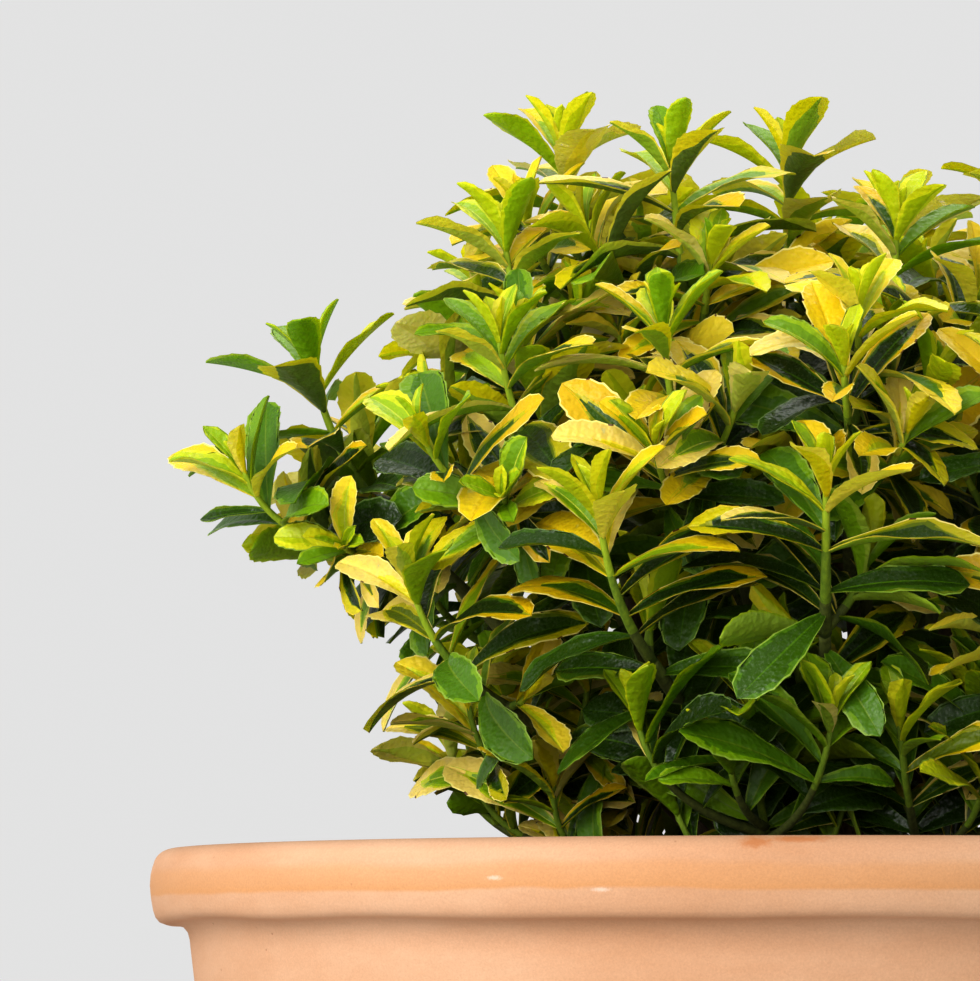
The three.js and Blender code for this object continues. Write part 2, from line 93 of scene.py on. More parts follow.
# The crown's space
HEART = np.array([0.0, 0.0, RIM + 20.0])
CROWN_RADIUS = 216.0
OUTWARD_LIFT = 0.25
ROOT_REACH = 0.8
OVER_RIM_CLEARANCE = 2.0
OVER_SOIL_CLEARANCE = 8.0
# The skirt: how far leaves reach from the pot's axis at heights above the rim
SKIRT_HEIGHTS = [0.0, 12.0, 20.0, 34.0, 48.0, 62.0, 78.0, 92.0, 104.0, 116.0]
SKIRT_RADII = [100.0, 116.0, 140.0, 152.0, 172.0, 152.0, 156.0, 178.0, 200.0, 216.0]
SKIRT_SHOOT_MARGIN = 20.0

# Boughs leave the stem's top in two rings, or fork from another bough
CLEARANCE = 0.3
BOUGH_FOOT_RADIUS = 3.6
SIDE_BOUGH_FOOT_RADIUS = 2.6
BOUGH_TIP_RADIUS = 2.0
BOUGH_LEAVE_SHARE = 0.36
BOUGH_ARRIVE_SHARE = 0.3
FORK_HEADING = 0.35
INNER_RING_REACH = 80.0
INNER_RING = {"height": 16.2, "radius": 7.0, "spread": 0.3, "rise": 0.95}
OUTER_RING = {"height": 9.45, "radius": 12.0, "spread": 0.75, "rise": 0.66}

# Shoots of masses on boughs, and of low masses on the soil. Spread, drop and rise are shares of the reach:
# how far out side shoots stand, how much lower the last of them end, and how far up the leader ends.
# Lean is how far a side shoot's tip leans out, and later_lean what the last of them add to it.
HIGH_HABIT = {"shoots": 5, "spread": (0.5, 0.72), "drop": 0.85, "lean": 0.3, "later_lean": 0.25, "rise": 0.44}
LOW_HABIT = {"shoots": 9, "spread": (0.6, 0.86), "drop": 1.05, "lean": 0.1, "later_lean": 0.35, "rise": 0.12}
LEADER_LEAN = 0.28
LEADER_OUTWARD = 0.2
LOW_LEADER_HEIGHT = 6.75
SHOOT_MARGIN = 4.0
TIP_REACH_MARGIN = 10
TIP_BORDER_MARGIN = 3
FIRST_SHOOT_RISE = 0.3
LEAST_SHOOT_RISE = 7
LEAST_SPREAD = 14
SPREAD_STEP = 3
TWIG_RADIUS = 2.0
SHOOT_RADIUS = 1.7
SHOOT_TIP_RADIUS = 0.9
GOLDEN_ANGLE = 2.399963
TURN_SWAY = 0.25
FEELER_STEP = 8
LIMB_FEEL_MARGIN = 0.8

# Seeds of the repeatable noise
SEED = 44
MASS_SEED_STEP = 7919
SHOOT_SEED_STEP = 131
BOUGH_SEED_STEP = 4001

# Leaf pairs down a shoot: distance back from its tip, length, angle from the shoot, and age
LeafPair = namedtuple("LeafPair", "back length angle age")
LEAF_PAIRS = [LeafPair(*row) for row in (
    (0.6, 15, 21, 0.0), (2.6, 23, 32, 0.1), (6, 31, 48, 0.25), (10.5, 39, 64, 0.42), (16.5, 46, 78, 0.58),
    (23.5, 50, 86, 0.7), (31, 50, 92, 0.82), (39, 49, 97, 0.95), (48, 47, 101, 1.0), (57, 45, 104, 1.0),
    (67, 43, 106, 1.0), (78, 41, 108, 1.0), (90, 40, 108, 1.0), (103, 38, 108, 1.0),
)]
LEAST_LEAVES = 5
SHOOT_FOOT_BARE = 5
LEAF_HALF_WIDTH = 0.186
LEAF_THICKNESS = 0.4
LEAF_BORDER_OVERLAP = 14.0
LEAF_REACH_OVERLAP = 2.0
LEAF_TRIES = [(share, sway) for share in (1.0, 0.84, 0.7, 0.58) for sway in (0.0, 0.4, -0.4, 0.8, -0.8)]
# Leaves turn their faces to the light, which comes from above and from outside the crown
LEAF_TURN = 0.55
LIGHT_FROM_SIDE = 0.9
# Leaves are narrow when they open, broad soon after, narrower when full, and broader again when old
BREADTH_AGES = [0.0, 0.1, 0.25, 0.42, 0.6, 0.8, 1.0]
BREADTHS = [0.82, 0.94, 1.06, 1.0, 0.88, 0.88, 0.95]
# Old leaves along the outer share of each bough, inside the crown
BOUGH_LEAF_SPACING = 15.0
BOUGH_LEAF_LENGTH = 40
BOUGH_LEAF_ANGLE = 100
BOUGH_LEAF_SHARE = 0.55

# Masses of foliage, as in the part: name, centre in X, Y and above the rim, reach, the share of its leaves
# that are golden, and what carries it. The last number is the bearing at which its bough leaves the stem,
# or how far along the carrying bough it forks.
MASSES = [
    ("left_spur", (-158, -6, 125), 60, 0.40, "stem", 176),
    ("left_shoulder", (-97, -40, 166), 52, 0.60, "left_cheek", 0.5),
    ("crest", (-82, 24, 199), 59, 0.90, "stem", 160),
    ("front_brow", (-45, -47, 187), 54, 0.80, "stem", 232),
    ("crown_top", (-10, 22, 193), 60, 0.80, "stem", 88),
    ("right_brow", (24, -54, 168), 50, 0.70, "stem", 304),
    ("far_top", (24, 86, 180), 60, 1.00, "crown_top", 0.5),
    ("right_top", (72, -4, 178), 60, 0.95, "stem", 16),
    ("left_cheek", (-96, -94, 130), 50, 0.65, "stem", 215),
    ("front_heart", (-46, -116, 132), 48, 0.75, "front_brow", 0.42),
    ("right_cheek", (12, -116, 138), 48, 0.75, "right_brow", 0.45),
    ("front_chest", (-64, -144, 74), 52, 0.80, "stem", 242),
    ("front_lance", (2, -152, 82), 50, 0.25, "stem", 276),
    ("left_hem", (-122, -84, 58), 52, 0.95, "left_cheek", 0.3),
    ("right_bosom", (74, -104, 126), 54, 0.55, "stem", 316),
    ("right_hem", (86, -132, 62), 56, 0.35, "right_bosom", 0.36),
    ("right_spur", (154, -26, 118), 60, 0.60, "stem", 345),
    ("right_skirt", (142, -70, 54), 55, 0.30, "right_spur", 0.36),
    ("right_shoulder", (120, 42, 156), 60, 1.00, "right_top", 0.5),
    ("right_back", (132, 82, 84), 60, 0.60, "stem", 33),
    ("back_right", (62, 138, 110), 60, 0.70, "stem", 56),
    ("back_left", (-34, 140, 122), 60, 0.70, "stem", 105),
    ("back_crest", (-70, 92, 168), 60, 0.80, "crest", 0.5),
    ("left_back", (-128, 80, 92), 60, 0.60, "crest", 0.3),
    ("front_low", (-20, -106, 36), 50, 0.12, "soil", None),
    ("right_front_low", (44, -90, 40), 50, 0.12, "soil", None),
    ("right_low", (102, 6, 46), 54, 0.15, "soil", None),
    ("back_right_low", (28, 110, 40), 54, 0.15, "soil", None),
    ("back_left_low", (-64, 90, 40), 54, 0.15, "soil", None),
    ("left_low", (-94, -24, 44), 54, 0.85, "soil", None),
]

# Leaves and twigs are joined by the side of the crown that they grow on
SIDES = {
    "left": "left_spur left_shoulder left_cheek left_hem",
    "crest": "crest front_brow crown_top",
    "far": "far_top right_top right_brow",
    "front": "front_heart right_cheek front_chest front_lance",
    "low_front": "front_low right_front_low left_low",
    "low_back": "right_low back_right_low back_left_low",
    "right": "right_bosom right_hem right_spur right_skirt right_shoulder",
    "back_right": "right_back back_right",
    "back_left": "back_left back_crest left_back",
}


def linear(red, green, blue):
    """A display colour of 0 to 255 a channel as the linear colour that shaders take."""
    def one(channel):
        value = channel / 255
        return value / 12.92 if value <= 0.04045 else ((value + 0.055) / 1.055) ** 2.4
    return (one(red), one(green), one(blue), 1.0)


# Growing

def stream(seed):
    """Repeatable noise in whole numbers, the same as the part's own."""
    state = seed

    def draw():
        nonlocal state
        state = (state * 1664525 + 1013904223) % 4294967296
        return state / 4294967296
    for _ in range(4):
        draw()
    return draw


def between(draw, low, high):
    return low + (high - low) * draw()


def unit(vector):
    return vector / np.linalg.norm(vector)


def blend(a, p, b, q):
    """The direction of p parts of a and q parts of b."""
    return unit(a * p + b * q)


class Curve:
    """A Bezier curve as a fine polyline, measured along its length."""

    def __init__(self, *controls):
        share = np.linspace(0, 1, 65)[:, None]
        degree = len(controls) - 1
        self.points = sum(
            math.comb(degree, i) * (1 - share) ** (degree - i) * share ** i * control
            for i, control in enumerate(controls))
        steps = np.linalg.norm(np.diff(self.points, axis=0), axis=1)
        self.lengths = np.concatenate([[0], np.cumsum(steps)])
        self.length = self.lengths[-1]

    def at(self, share):
        """The point, or the points, at a share of the length."""
        run = np.asarray(share) * self.length
        return np.stack([np.interp(run, self.lengths, self.points[:, i]) for i in range(3)], axis=-1)

    def along(self, share):
        ahead = self.at(min(share + 0.01, 1))
        return unit(ahead - self.at(max(share - 0.01, 0)))


def lay_masses():
    """The masses with their centres, and the way out and up from the crown's heart through each."""
    masses = []
    for index, (name, place, reach, gold, carrier, leaving) in enumerate(MASSES):
        centre = np.array(place, float) + (0, 0, RIM)
        outward = blend(unit(centre - HEART), 1, UP, OUTWARD_LIFT)
        habit = LOW_HABIT if carrier == "soil" else HIGH_HABIT
        masses.append({"index": index, "name": name, "centre": centre, "reach": reach, "gold": gold,
                       "carrier": carrier, "leaving": leaving, "outward": outward, "habit": habit})
    return masses


masses = lay_masses()
CENTRES = np.array([mass["centre"] for mass in masses])
REACHES = np.array([mass["reach"] for mass in masses], float)
GAPS = np.linalg.norm(CENTRES[:, None] - CENTRES[None], axis=2) + 1e-9


def inner_radius(height):
    return WALL_TOP_RADIUS - WALL_THICKNESS - WALL_TAPER * (RIM - ROLL_HEIGHT - height)


def in_own_space(mass, points, reach_margin, border_margin):
    """True where every point is in the mass's ball, on its side of each border, and over the soil."""
    points = np.atleast_2d(points)
    powers = ((points[:, None] - CENTRES[None]) ** 2).sum(axis=2) - REACHES ** 2
    index = mass["index"]
    from_centre = np.linalg.norm(points - mass["centre"], axis=1)
    if (from_centre > mass["reach"] - reach_margin).any():
        return False
    if (np.hypot(points[:, 0], points[:, 1]) > CROWN_RADIUS).any() or not above_ground(points):
        return False
    borders = (powers - powers[:, index:index + 1]) / (2 * GAPS[index])
    borders[:, index] = border_margin + 1
    return bool((borders > border_margin).all())


def above_ground(points):
    """True where every point is clear of the pot's rim and of the soil."""
    over_clay = np.hypot(points[:, 0], points[:, 1]) > inner_radius(RIM) - OVER_SOIL_CLEARANCE
    floor = np.where(over_clay, RIM + OVER_RIM_CLEARANCE, SOIL_TOP + OVER_SOIL_CLEARANCE)
    return bool((points[:, 2] >= floor).all())


def inside_skirt(points, margin=0.0):
    """True where every point is nearer to the pot's axis than the skirt at its height."""
    points = np.atleast_2d(points)
    limit = np.interp(points[:, 2] - RIM, SKIRT_HEIGHTS, SKIRT_RADII) - margin
    return bool((np.hypot(points[:, 0], points[:, 1]) < limit).all())


def root_of(mass):
    """Where a mass's bough ends: as far back from its centre as its own space allows."""
    root = mass["centre"]
    for back in np.arange(0, mass["reach"] * ROOT_REACH):
        further = mass["centre"] - mass["outward"] * back
        if not in_own_space(mass, further, SHOOT_MARGIN, SHOOT_MARGIN):
            break
        root = further
    return root


boughs = {}


def lay_bough(mass):
    """A mass's bough: out of the stem's top or another bough, and into the mass from inside."""
    root = root_of(mass)
    if mass["carrier"] == "stem":
        bearing = math.radians(mass["leaving"])
        way_out = np.array([math.cos(bearing), math.sin(bearing), 0])
        ring = INNER_RING if math.hypot(root[0], root[1]) < INNER_RING_REACH else OUTER_RING
        start = np.array([0, 0, SOIL_TOP + ring["height"]]) + way_out * ring["radius"]
        heading = blend(way_out, ring["spread"], UP, ring["rise"])
    else:
        carrier = boughs[mass["carrier"]]["curve"]
        start = carrier.at(mass["leaving"])
        heading = blend(carrier.along(mass["leaving"]), FORK_HEADING, unit(root - start), 1)
    span = np.linalg.norm(root - start)
    leave = start + heading * span * BOUGH_LEAVE_SHARE
    arrive = root - mass["outward"] * span * BOUGH_ARRIVE_SHARE
    foot = BOUGH_FOOT_RADIUS if mass["carrier"] == "stem" else SIDE_BOUGH_FOOT_RADIUS
    boughs[mass["name"]] = {"curve": Curve(start, leave, arrive, root), "foot": foot}


for mass in masses:
    if mass["carrier"] == "stem":
        lay_bough(mass)
for mass in masses:
    if mass["carrier"] in boughs:
        lay_bough(mass)


def around_shoot(along, turn):
    """The direction square to a shoot at a turn round it."""
    across = np.cross(along, UP)
    if across @ across < 1e-4:
        across = np.array([1.0, 0, 0])
    across = unit(across)
    return blend(across, math.cos(turn), np.cross(along, across), math.sin(turn))


def tube_tree(curve, radius):
    """A coarse three-sided tube along a curve, for feeling whether a leaf would touch it."""
    steps = max(2, int(curve.length / FEELER_STEP))
    middle = curve.at(np.linspace(0, 1, steps + 1))
    corners = []
    for i, place in enumerate(middle):
        along = unit(middle[min(i + 1, steps)] - middle[max(i - 1, 0)])
        corners += [place + around_shoot(along, turn) * radius for turn in (0, 2.094, 4.189)]
    faces = []
    for i in range(steps):
        for j in range(3):
            a = i * 3 + j
            b = i * 3 + (j + 1) % 3
            faces += [(a, b, b + 3), (a, b + 3, a + 3)]
    return BVHTree.FromPolygons([Vector(corner) for corner in corners], faces)


def rising_curve(start, top, arrive):
    """A curve from start that comes to top along arrive, and dips no lower than it starts."""
    turn = top - arrive * np.linalg.norm(top - start) * 0.5
    turn[2] = max(turn[2], min(start[2], top[2]))
    return Curve(start, turn, top)


def side_shoot_place(leader, tip, spread):
    """How far up its leader a side shoot starts: well below its tip, so that it rises all the way."""
    shares = np.linspace(0.04, 0.8, 39)
    heights = leader.at(shares)[:, 2]
    low_enough = shares[heights < tip[2] - spread * 0.8 - 6]
    return low_enough[-1] if len(low_enough) else shares[0]


def side_shoot(mass, leader, first_turn, number, draw):
    """A shoot that leaves the leader sideways and turns up to its own rosette, where there is room."""
    habit, reach = mass["habit"], mass["reach"]
    bearing = first_turn + number * GOLDEN_ANGLE + between(draw, -TURN_SWAY, TURN_SWAY)
    level = np.array([math.cos(bearing), math.sin(bearing), 0])
    share = (number + 0.5) / habit["shoots"]
    spread = reach * between(draw, *habit["spread"])
    rise = reach * (FIRST_SHOOT_RISE - habit["drop"] * share + between(draw, -0.1, 0.1))
    if habit is LOW_HABIT:
        rise = max(rise, RIM + LEAST_SHOOT_RISE - mass["centre"][2])
    arrive = blend(level, habit["lean"] + habit["later_lean"] * share, UP, 1)
    vigour = between(draw, 0.86, 1.0)
    while spread > LEAST_SPREAD:
        tip = mass["centre"] + level * spread + UP * rise
        roomy = in_own_space(mass, tip, TIP_REACH_MARGIN, TIP_BORDER_MARGIN)
        if roomy and inside_skirt(tip, SKIRT_SHOOT_MARGIN):
            foot = leader.at(side_shoot_place(leader, tip, spread))
            curve = rising_curve(foot, tip, arrive)
            return {"curve": curve, "draw": draw, "foot": SHOOT_RADIUS, "vigour": vigour}
        spread -= SPREAD_STEP
    return None


def lay_shoots(mass):
    """A mass's leader and its side shoots."""
    habit = mass["habit"]
    mass_seed = MASS_SEED_STEP * (mass["index"] + SEED)
    draw = stream(mass_seed)
    start = np.array([0, 0, SOIL_TOP + LOW_LEADER_HEIGHT])
    if mass["name"] in boughs:
        start = boughs[mass["name"]]["curve"].points[-1] + mass["outward"] * CLEARANCE
    rise = mass["reach"] * habit["rise"]
    top = mass["centre"] + mass["outward"] * mass["reach"] * LEADER_OUTWARD + UP * rise
    leader = rising_curve(start, top, blend(mass["outward"], LEADER_LEAN, UP, 1))
    shoots = [{"curve": leader, "draw": draw, "foot": TWIG_RADIUS, "vigour": 1.0}]
    first_turn = between(draw, 0, math.tau)
    for number in range(habit["shoots"]):
        shoot_draw = stream(mass_seed + SHOOT_SEED_STEP * (number + 1))
        shoot = side_shoot(mass, leader, first_turn, number, shoot_draw)
        if shoot:
            shoots.append(shoot)
    return shoots


# Leaves

LEAF_ROWS = 16
OLD_LEAF_ROWS = 12
SMALL_LEAF_ROWS = 8
ROW_CROWDING = 1.45
SMALL_LEAF = 24.0
OLD_LEAF_AGE = 0.9
LEAF_SHAPE = ("length", "half", "bend", "fold", "sweep", "wave", "phase", "reflex")
LEAF_AXES = ("root", "blade", "face", "side")


def leaf_half_width(share):
    """The half-width of a leaf of half-width 1 at a share of its length: narrow foot, blunt tip."""
    share = np.clip(share, 0, 1)
    return share ** 0.85 * (1 - share ** 2.6) ** 0.7 / 0.524


def leaf_surface(leaf, share, aside, lift=0.0):
    """Points on leaves. Leaf values are arrays of n, share and aside broadcast to n by rows by columns."""
    value = {key: leaf[key][:, None, None] for key in LEAF_SHAPE}
    axis = {key: leaf[key][:, None, None, :] for key in LEAF_AXES}
    run = np.clip(share + 0.07 * np.abs(aside) * np.sin(np.pi * share), 0, 1)
    angle = value["bend"] * run
    ahead = np.sin(angle) / value["bend"] * value["length"]
    down = (1 - np.cos(angle)) / value["bend"] * value["length"]
    sideways = value["sweep"] * run ** 2 * value["length"]
    width = value["half"] * leaf_half_width(share) + 0.7 * (1 - share)
    fold = value["fold"] * (1 - 0.5 * share)
    far = np.abs(aside)
    rise = width * (far * np.sin(fold) - value["reflex"] * far ** 3)
    ripple = np.sin(math.tau * (1.7 * share + value["phase"] + 0.27 * np.sign(aside)))
    rise = rise + width * far * value["wave"] * ripple
    rise = rise + lift
    flat = aside * width * np.cos(fold)
    along_rise, face_rise = np.sin(angle) * rise, np.cos(angle) * rise
    return (axis["root"]
            + axis["blade"] * (ahead + along_rise)[..., None]
            + axis["face"] * (face_rise - down)[..., None]
            + axis["side"] * (flat + sideways)[..., None])


PROXY_SHARES = np.array([0.1, 0.35, 0.62, 0.84, 1.0])[None, :, None]
PROXY_ASIDES = np.array([-0.55, 0.0, 0.55])[None, None, :]
PROXY_FACES = [(row * 3 + column, row * 3 + column + 1, row * 3 + column + 4, row * 3 + column + 3)
               for row in range(4) for column in range(2)]


def make_leaves(node, along, pair, turns, lengths, traits):
    """Candidate leaves from one node, as arrays with one row for each turn and length."""
    light = blend(unit(node - HEART), LIGHT_FROM_SIDE, UP, 1)
    angle = math.radians(pair.angle - 14 - 10 * pair.age)
    roll = traits["roll"]
    rows = []
    for turn in turns:
        outward = around_shoot(along, turn)
        blade = blend(along, math.cos(angle), outward, math.sin(angle))
        face = blend(along, math.sin(angle), outward, -math.cos(angle)) + light * LEAF_TURN
        face = unit(face - blade * (face @ blade))
        side = np.cross(blade, face)
        rolled = face * math.cos(roll) + side * math.sin(roll)
        rows.append((node, blade, rolled, side * math.cos(roll) - face * math.sin(roll)))
    leaf = {axis: np.array(column) for axis, column in zip(LEAF_AXES, zip(*rows))}
    leaf["length"] = np.array(lengths, float)
    leaf["half"] = leaf["length"] * LEAF_HALF_WIDTH * traits["breadth"]
    for key in LEAF_SHAPE[2:]:
        leaf[key] = np.full(len(rows), traits[key])
    return leaf


def leaf_traits(draw, age):
    """How one leaf bends, folds and waves, from its age and a few draws."""
    return {
        "bend": math.radians(between(draw, 14, 36) + 34 * age * draw()),
        "fold": math.radians(between(draw, 26, 44) - 10 * age),
        "sweep": between(draw, -0.1, 0.1),
        "wave": between(draw, 0.02, 0.14),
        "phase": draw(),
        "reflex": between(draw, 0.0, 0.2) * age,
        "roll": between(draw, -0.34, 0.34) * (0.3 + age),
        "breadth": between(draw, 0.88, 1.16) * np.interp(age, BREADTH_AGES, BREADTHS),
        "kind": draw(),
        "shade": draw(),
        "pattern": draw(),
    }


class Grown:
    """Every leaf and limb that stands, with trees for feeling what a new leaf would touch."""

    def __init__(self):
        self.leaves = []
        self.middles = np.zeros((0, 3))
        self.sizes = np.zeros(0)
        self.trees = []
        self.limbs = []

    def add_limb(self, curve, radius):
        reach = curve.length / 2 + 4
        self.limbs.append((curve.at(0.5), reach, tube_tree(curve, radius), curve))

    def touches_limb(self, tree, middle, size, own):
        for centre, reach, limb, curve in self.limbs:
            if curve is own or np.linalg.norm(centre - middle) > reach + size:
                continue
            if tree.overlap(limb):
                return True
        return False

    def touches_leaf(self, tree, middle, size, upto):
        near = np.nonzero(np.linalg.norm(self.middles[:upto] - middle, axis=1) < self.sizes[:upto] + size)[0]
        return any(tree.overlap(self.trees[i]) for i in near)

    def forget_from(self, first):
        """Takes back the leaves that came from first on."""
        del self.leaves[first:], self.trees[first:]
        self.middles, self.sizes = self.middles[:first], self.sizes[:first]

    def add_leaf(self, leaf, tree, middle, size):
        self.leaves.append(leaf)
        self.middles = np.vstack([self.middles, middle])
        self.sizes = np.append(self.sizes, size)
        self.trees.append(tree)


def add_leaf_pair(grown, mass, shoot, pair, first_turn, in_shade):
    """Two leaves across a shoot from each other. Those in shade may stand outside their mass's space."""
    curve, draw = shoot["curve"], shoot["draw"]
    place = 1 - pair.back / curve.length
    upto = len(grown.leaves)
    for half in (0, 1):
        turn = first_turn + half * math.pi + between(draw, -TURN_SWAY, TURN_SWAY)
        traits = leaf_traits(draw, pair.age)
        length = pair.length * shoot["vigour"] * between(draw, 0.88, 1.14)
        if place * curve.length < SHOOT_FOOT_BARE:
            continue
        candidates = make_leaves(
            curve.at(place), curve.along(place), pair, [turn + sway for _, sway in LEAF_TRIES],
            [length * share for share, _ in LEAF_TRIES], traits)
        proxies = leaf_surface(candidates, PROXY_SHARES, PROXY_ASIDES)
        for i in range(len(LEAF_TRIES)):
            points = proxies[i].reshape(-1, 3)
            blade = points[3:]
            if not in_shade and not in_own_space(mass, blade, -LEAF_REACH_OVERLAP, -LEAF_BORDER_OVERLAP):
                continue
            if not above_ground(blade) or not inside_skirt(blade):
                continue
            middle = points.mean(axis=0)
            size = np.linalg.norm(points - middle, axis=1).max()
            tree = BVHTree.FromPolygons([Vector(point) for point in points], PROXY_FACES)
            if grown.touches_leaf(tree, middle, size, upto) or grown.touches_limb(tree, middle, size, curve):
                continue
            leaf = {key: values[i] for key, values in candidates.items()}
            leaf.update(traits, mass=mass, age=pair.age, in_shade=in_shade)
            grown.add_leaf(leaf, tree, middle, size)
            break


def add_leaves(grown, mass, shoot, pairs, in_shade=False):
    """Leaf pairs down a shoot, each crosswise to the one before."""
    first_turn = between(shoot["draw"], 0, math.pi)
    for number, pair in enumerate(pairs):
        add_leaf_pair(grown, mass, shoot, pair, first_turn + number * math.pi / 2, in_shade)


def add_bough_leaves(grown, mass):
    """Pairs of old leaves along the outer part of a mass's bough, in the shade inside the crown."""
    curve = boughs[mass["name"]]["curve"]
    draw = stream(MASS_SEED_STEP * (mass["index"] + SEED) + BOUGH_SEED_STEP)
    backs = np.arange(BOUGH_LEAF_SPACING / 2, curve.length * BOUGH_LEAF_SHARE, BOUGH_LEAF_SPACING)
    pairs = [LeafPair(back, BOUGH_LEAF_LENGTH, BOUGH_LEAF_ANGLE, 1.0) for back in backs]
    add_leaves(grown, mass, {"curve": curve, "draw": draw, "vigour": 1.0}, pairs, in_shade=True)


def grow_crown():
    """Every leaf, and the shoots that carry enough of them, by mass."""
    grown = Grown()
    for bough in boughs.values():
        grown.add_limb(bough["curve"], BOUGH_TIP_RADIUS + LIMB_FEEL_MARGIN)
    shoots_of = {mass["name"]: lay_shoots(mass) for mass in masses}
    for shoots in shoots_of.values():
        for shoot in shoots:
            grown.add_limb(shoot["curve"], SHOOT_RADIUS)
    for mass in masses:
        if mass["name"] in boughs:
            add_bough_leaves(grown, mass)
        leafy = []
        for shoot in shoots_of[mass["name"]]:
            before = len(grown.leaves)
            reach = shoot["curve"].length - SHOOT_FOOT_BARE
            add_leaves(grown, mass, shoot, [pair for pair in LEAF_PAIRS if pair.back < reach])
            if len(grown.leaves) - before >= LEAST_LEAVES:
                leafy.append(shoot)
            else:
                grown.forget_from(before)
        shoots_of[mass["name"]] = leafy
    return grown.leaves, shoots_of


# Materials

class Surface:
    """A new material, with short ways to add and join its nodes. Distances are in metres."""

    def __init__(self, name):
        self.material = bpy.data.materials.new(name)
        self.material.use_nodes = True
        self.nodes = self.material.node_tree.nodes
        self.shader = self.nodes["Principled BSDF"]
        self.place = self.nodes.new("ShaderNodeTexCoord").outputs["Object"]

    def feed(self, node, inputs):
        """Gives each input its value, or joins it to the output that it comes from."""
        for name, value in inputs.items():
            if isinstance(value, bpy.types.NodeSocket):
                self.material.node_tree.links.new(value, node.inputs[name])
            else:
                node.inputs[name].default_value = value

    def add(self, kind, output, inputs, **settings):
        """One output of a new node."""
        node = self.nodes.new(f"ShaderNode{kind}")
        for name, value in settings.items():
            setattr(node, name, value)
        self.feed(node, inputs)
        return node.outputs[output]

    def finish(self, inputs, height, strength, distance):
        """Feeds the shader, and gives it bumps from a height."""
        bump = {"Height": height, "Strength": strength, "Distance": distance}
        self.feed(self.shader, {**inputs, "Normal": self.add("Bump", "Normal", bump)})
        return self.material

    def noise(self, scale, detail=4.0, roughness=0.55, stretch=None):
        place = self.place
        if stretch:
            place = self.add("Mapping", "Vector", {"Vector": place, "Scale": stretch})
        inputs = {"Vector": place, "Scale": scale, "Detail": detail, "Roughness": roughness}
        return self.add("TexNoise", "Fac", inputs)

    def spread(self, value, low, high, to_low, to_high):
        """A value, with the range from low to high laid over another range."""
        return self.add("MapRange", "Result", {
            "Value": value, "From Min": low, "From Max": high, "To Min": to_low, "To Max": to_high})

    def maths(self, operation, *values):
        return self.add("Math", 0, dict(enumerate(values)), operation=operation)

    def ramp(self, factor, stops, interpolation="LINEAR"):
        """Colours by their positions."""
        node = self.nodes.new("ShaderNodeValToRGB")
        node.color_ramp.interpolation = interpolation
        elements = node.color_ramp.elements
        elements.remove(elements[0])
        elements[0].position, elements[0].color = stops[0]
        for position, colour in stops[1:]:
            elements.new(position).color = colour
        self.feed(node, {"Fac": factor})
        return node.outputs["Color"]

    def lay_over(self, base, factor, colour, strength):
        """Base with a plain colour laid over it as far as the factor says."""
        scaled = self.maths("MULTIPLY", factor, strength)
        return self.add("Mix", "Result", {"Factor": scaled, "A": base, "B": colour}, data_type="RGBA")

    def scale_colour(self, base, factor):
        return self.add("VectorMath", "Vector", {0: base, "Scale": factor}, operation="SCALE")

    def patch(self, centre, size, ragged):
        """A ragged oval patch round a place: 1 in its middle and 0 outside."""
        moved = self.add("Mapping", "Vector", {
            "Vector": self.place, "Location": [-c / s for c, s in zip(centre, size)],
            "Scale": [1 / s for s in size]})
        far = self.add("VectorMath", "Value", {0: moved}, operation="LENGTH")
        edge = self.maths("MULTIPLY_ADD", self.noise(ragged, 3.0, 0.7), 1.3, far)
        return self.spread(edge, 0.95, 1.6, 1, 0)


def leaf_material(name, colour):
    """Leathery leaf skin: a plain colour with pebbled grain, and frosty specks if it is solid."""
    skin = Surface(f"leaf_{name}")
    specks = skin.noise(1300.0, 1.0, 0.6)
    roughness = LEAF_ROUGHNESS.get(name, PLAIN_LEAF_ROUGHNESS)
    solid = name in SOLID_COLOURS
    material = skin.finish({
        "Base Color": linear(*colour),
        "Subsurface Weight": 0.0 if solid else 0.32,
        "Subsurface Radius": (0.7, 1.0, 0.12),
        "Subsurface Scale": 0.003,
        "Roughness": skin.spread(specks, 0.3, 0.7, roughness - 0.08, roughness + 0.1),
        "Specular IOR Level": LEAF_GLOSS,
    }, skin.noise(420.0, 1.0, 0.5), 0.55, 0.0013)
    if solid:
        skin.feed(skin.shader, {"Specular IOR Level": skin.spread(specks, 0.55, 0.7, LEAF_GLOSS, 1.0)})
    return material


LEAF_COLOURS = {
    "gold_deep": (218, 180, 2), "gold": (230, 198, 14), "gold_bright": (238, 213, 50),
    "gold_pale": (230, 206, 98), "gold_shade": (208, 190, 30), "cream": (222, 205, 122),
    "cream_pale": (224, 211, 142), "lime_gold": (208, 198, 8), "gold_olive": (184, 176, 6),
    "olive": (144, 148, 6), "moss": (100, 116, 6), "lime_yellow": (212, 214, 32), "lime": (184, 196, 16),
    "lime_green": (146, 174, 10), "fresh": (114, 150, 6), "leaf_green": (80, 120, 4),
    "mid_green": (58, 92, 4), "deep": (42, 70, 6), "dark": (30, 52, 6), "darkest": (20, 36, 6),
    "grey_green": (88, 102, 56), "rib_pale": (184, 196, 66), "rib_green": (108, 136, 26),
    "under_pale": (186, 196, 84), "under_green": (140, 166, 48), "under_gold": (228, 214, 74),
    "under_cream": (214, 202, 116), "under_grey": (98, 112, 58), "edge_cream": (234, 219, 128),
    "edge_light": (138, 166, 58), "edge_dark": (96, 120, 56), "spot": (96, 60, 26),
}
LEAF_SLOTS = {name: i for i, name in enumerate(LEAF_COLOURS)}
# Colours that let no light through: the dark greens and the edge lines
SOLID_COLOURS = "mid_green deep dark darkest grey_green edge_cream edge_light edge_dark spot".split()
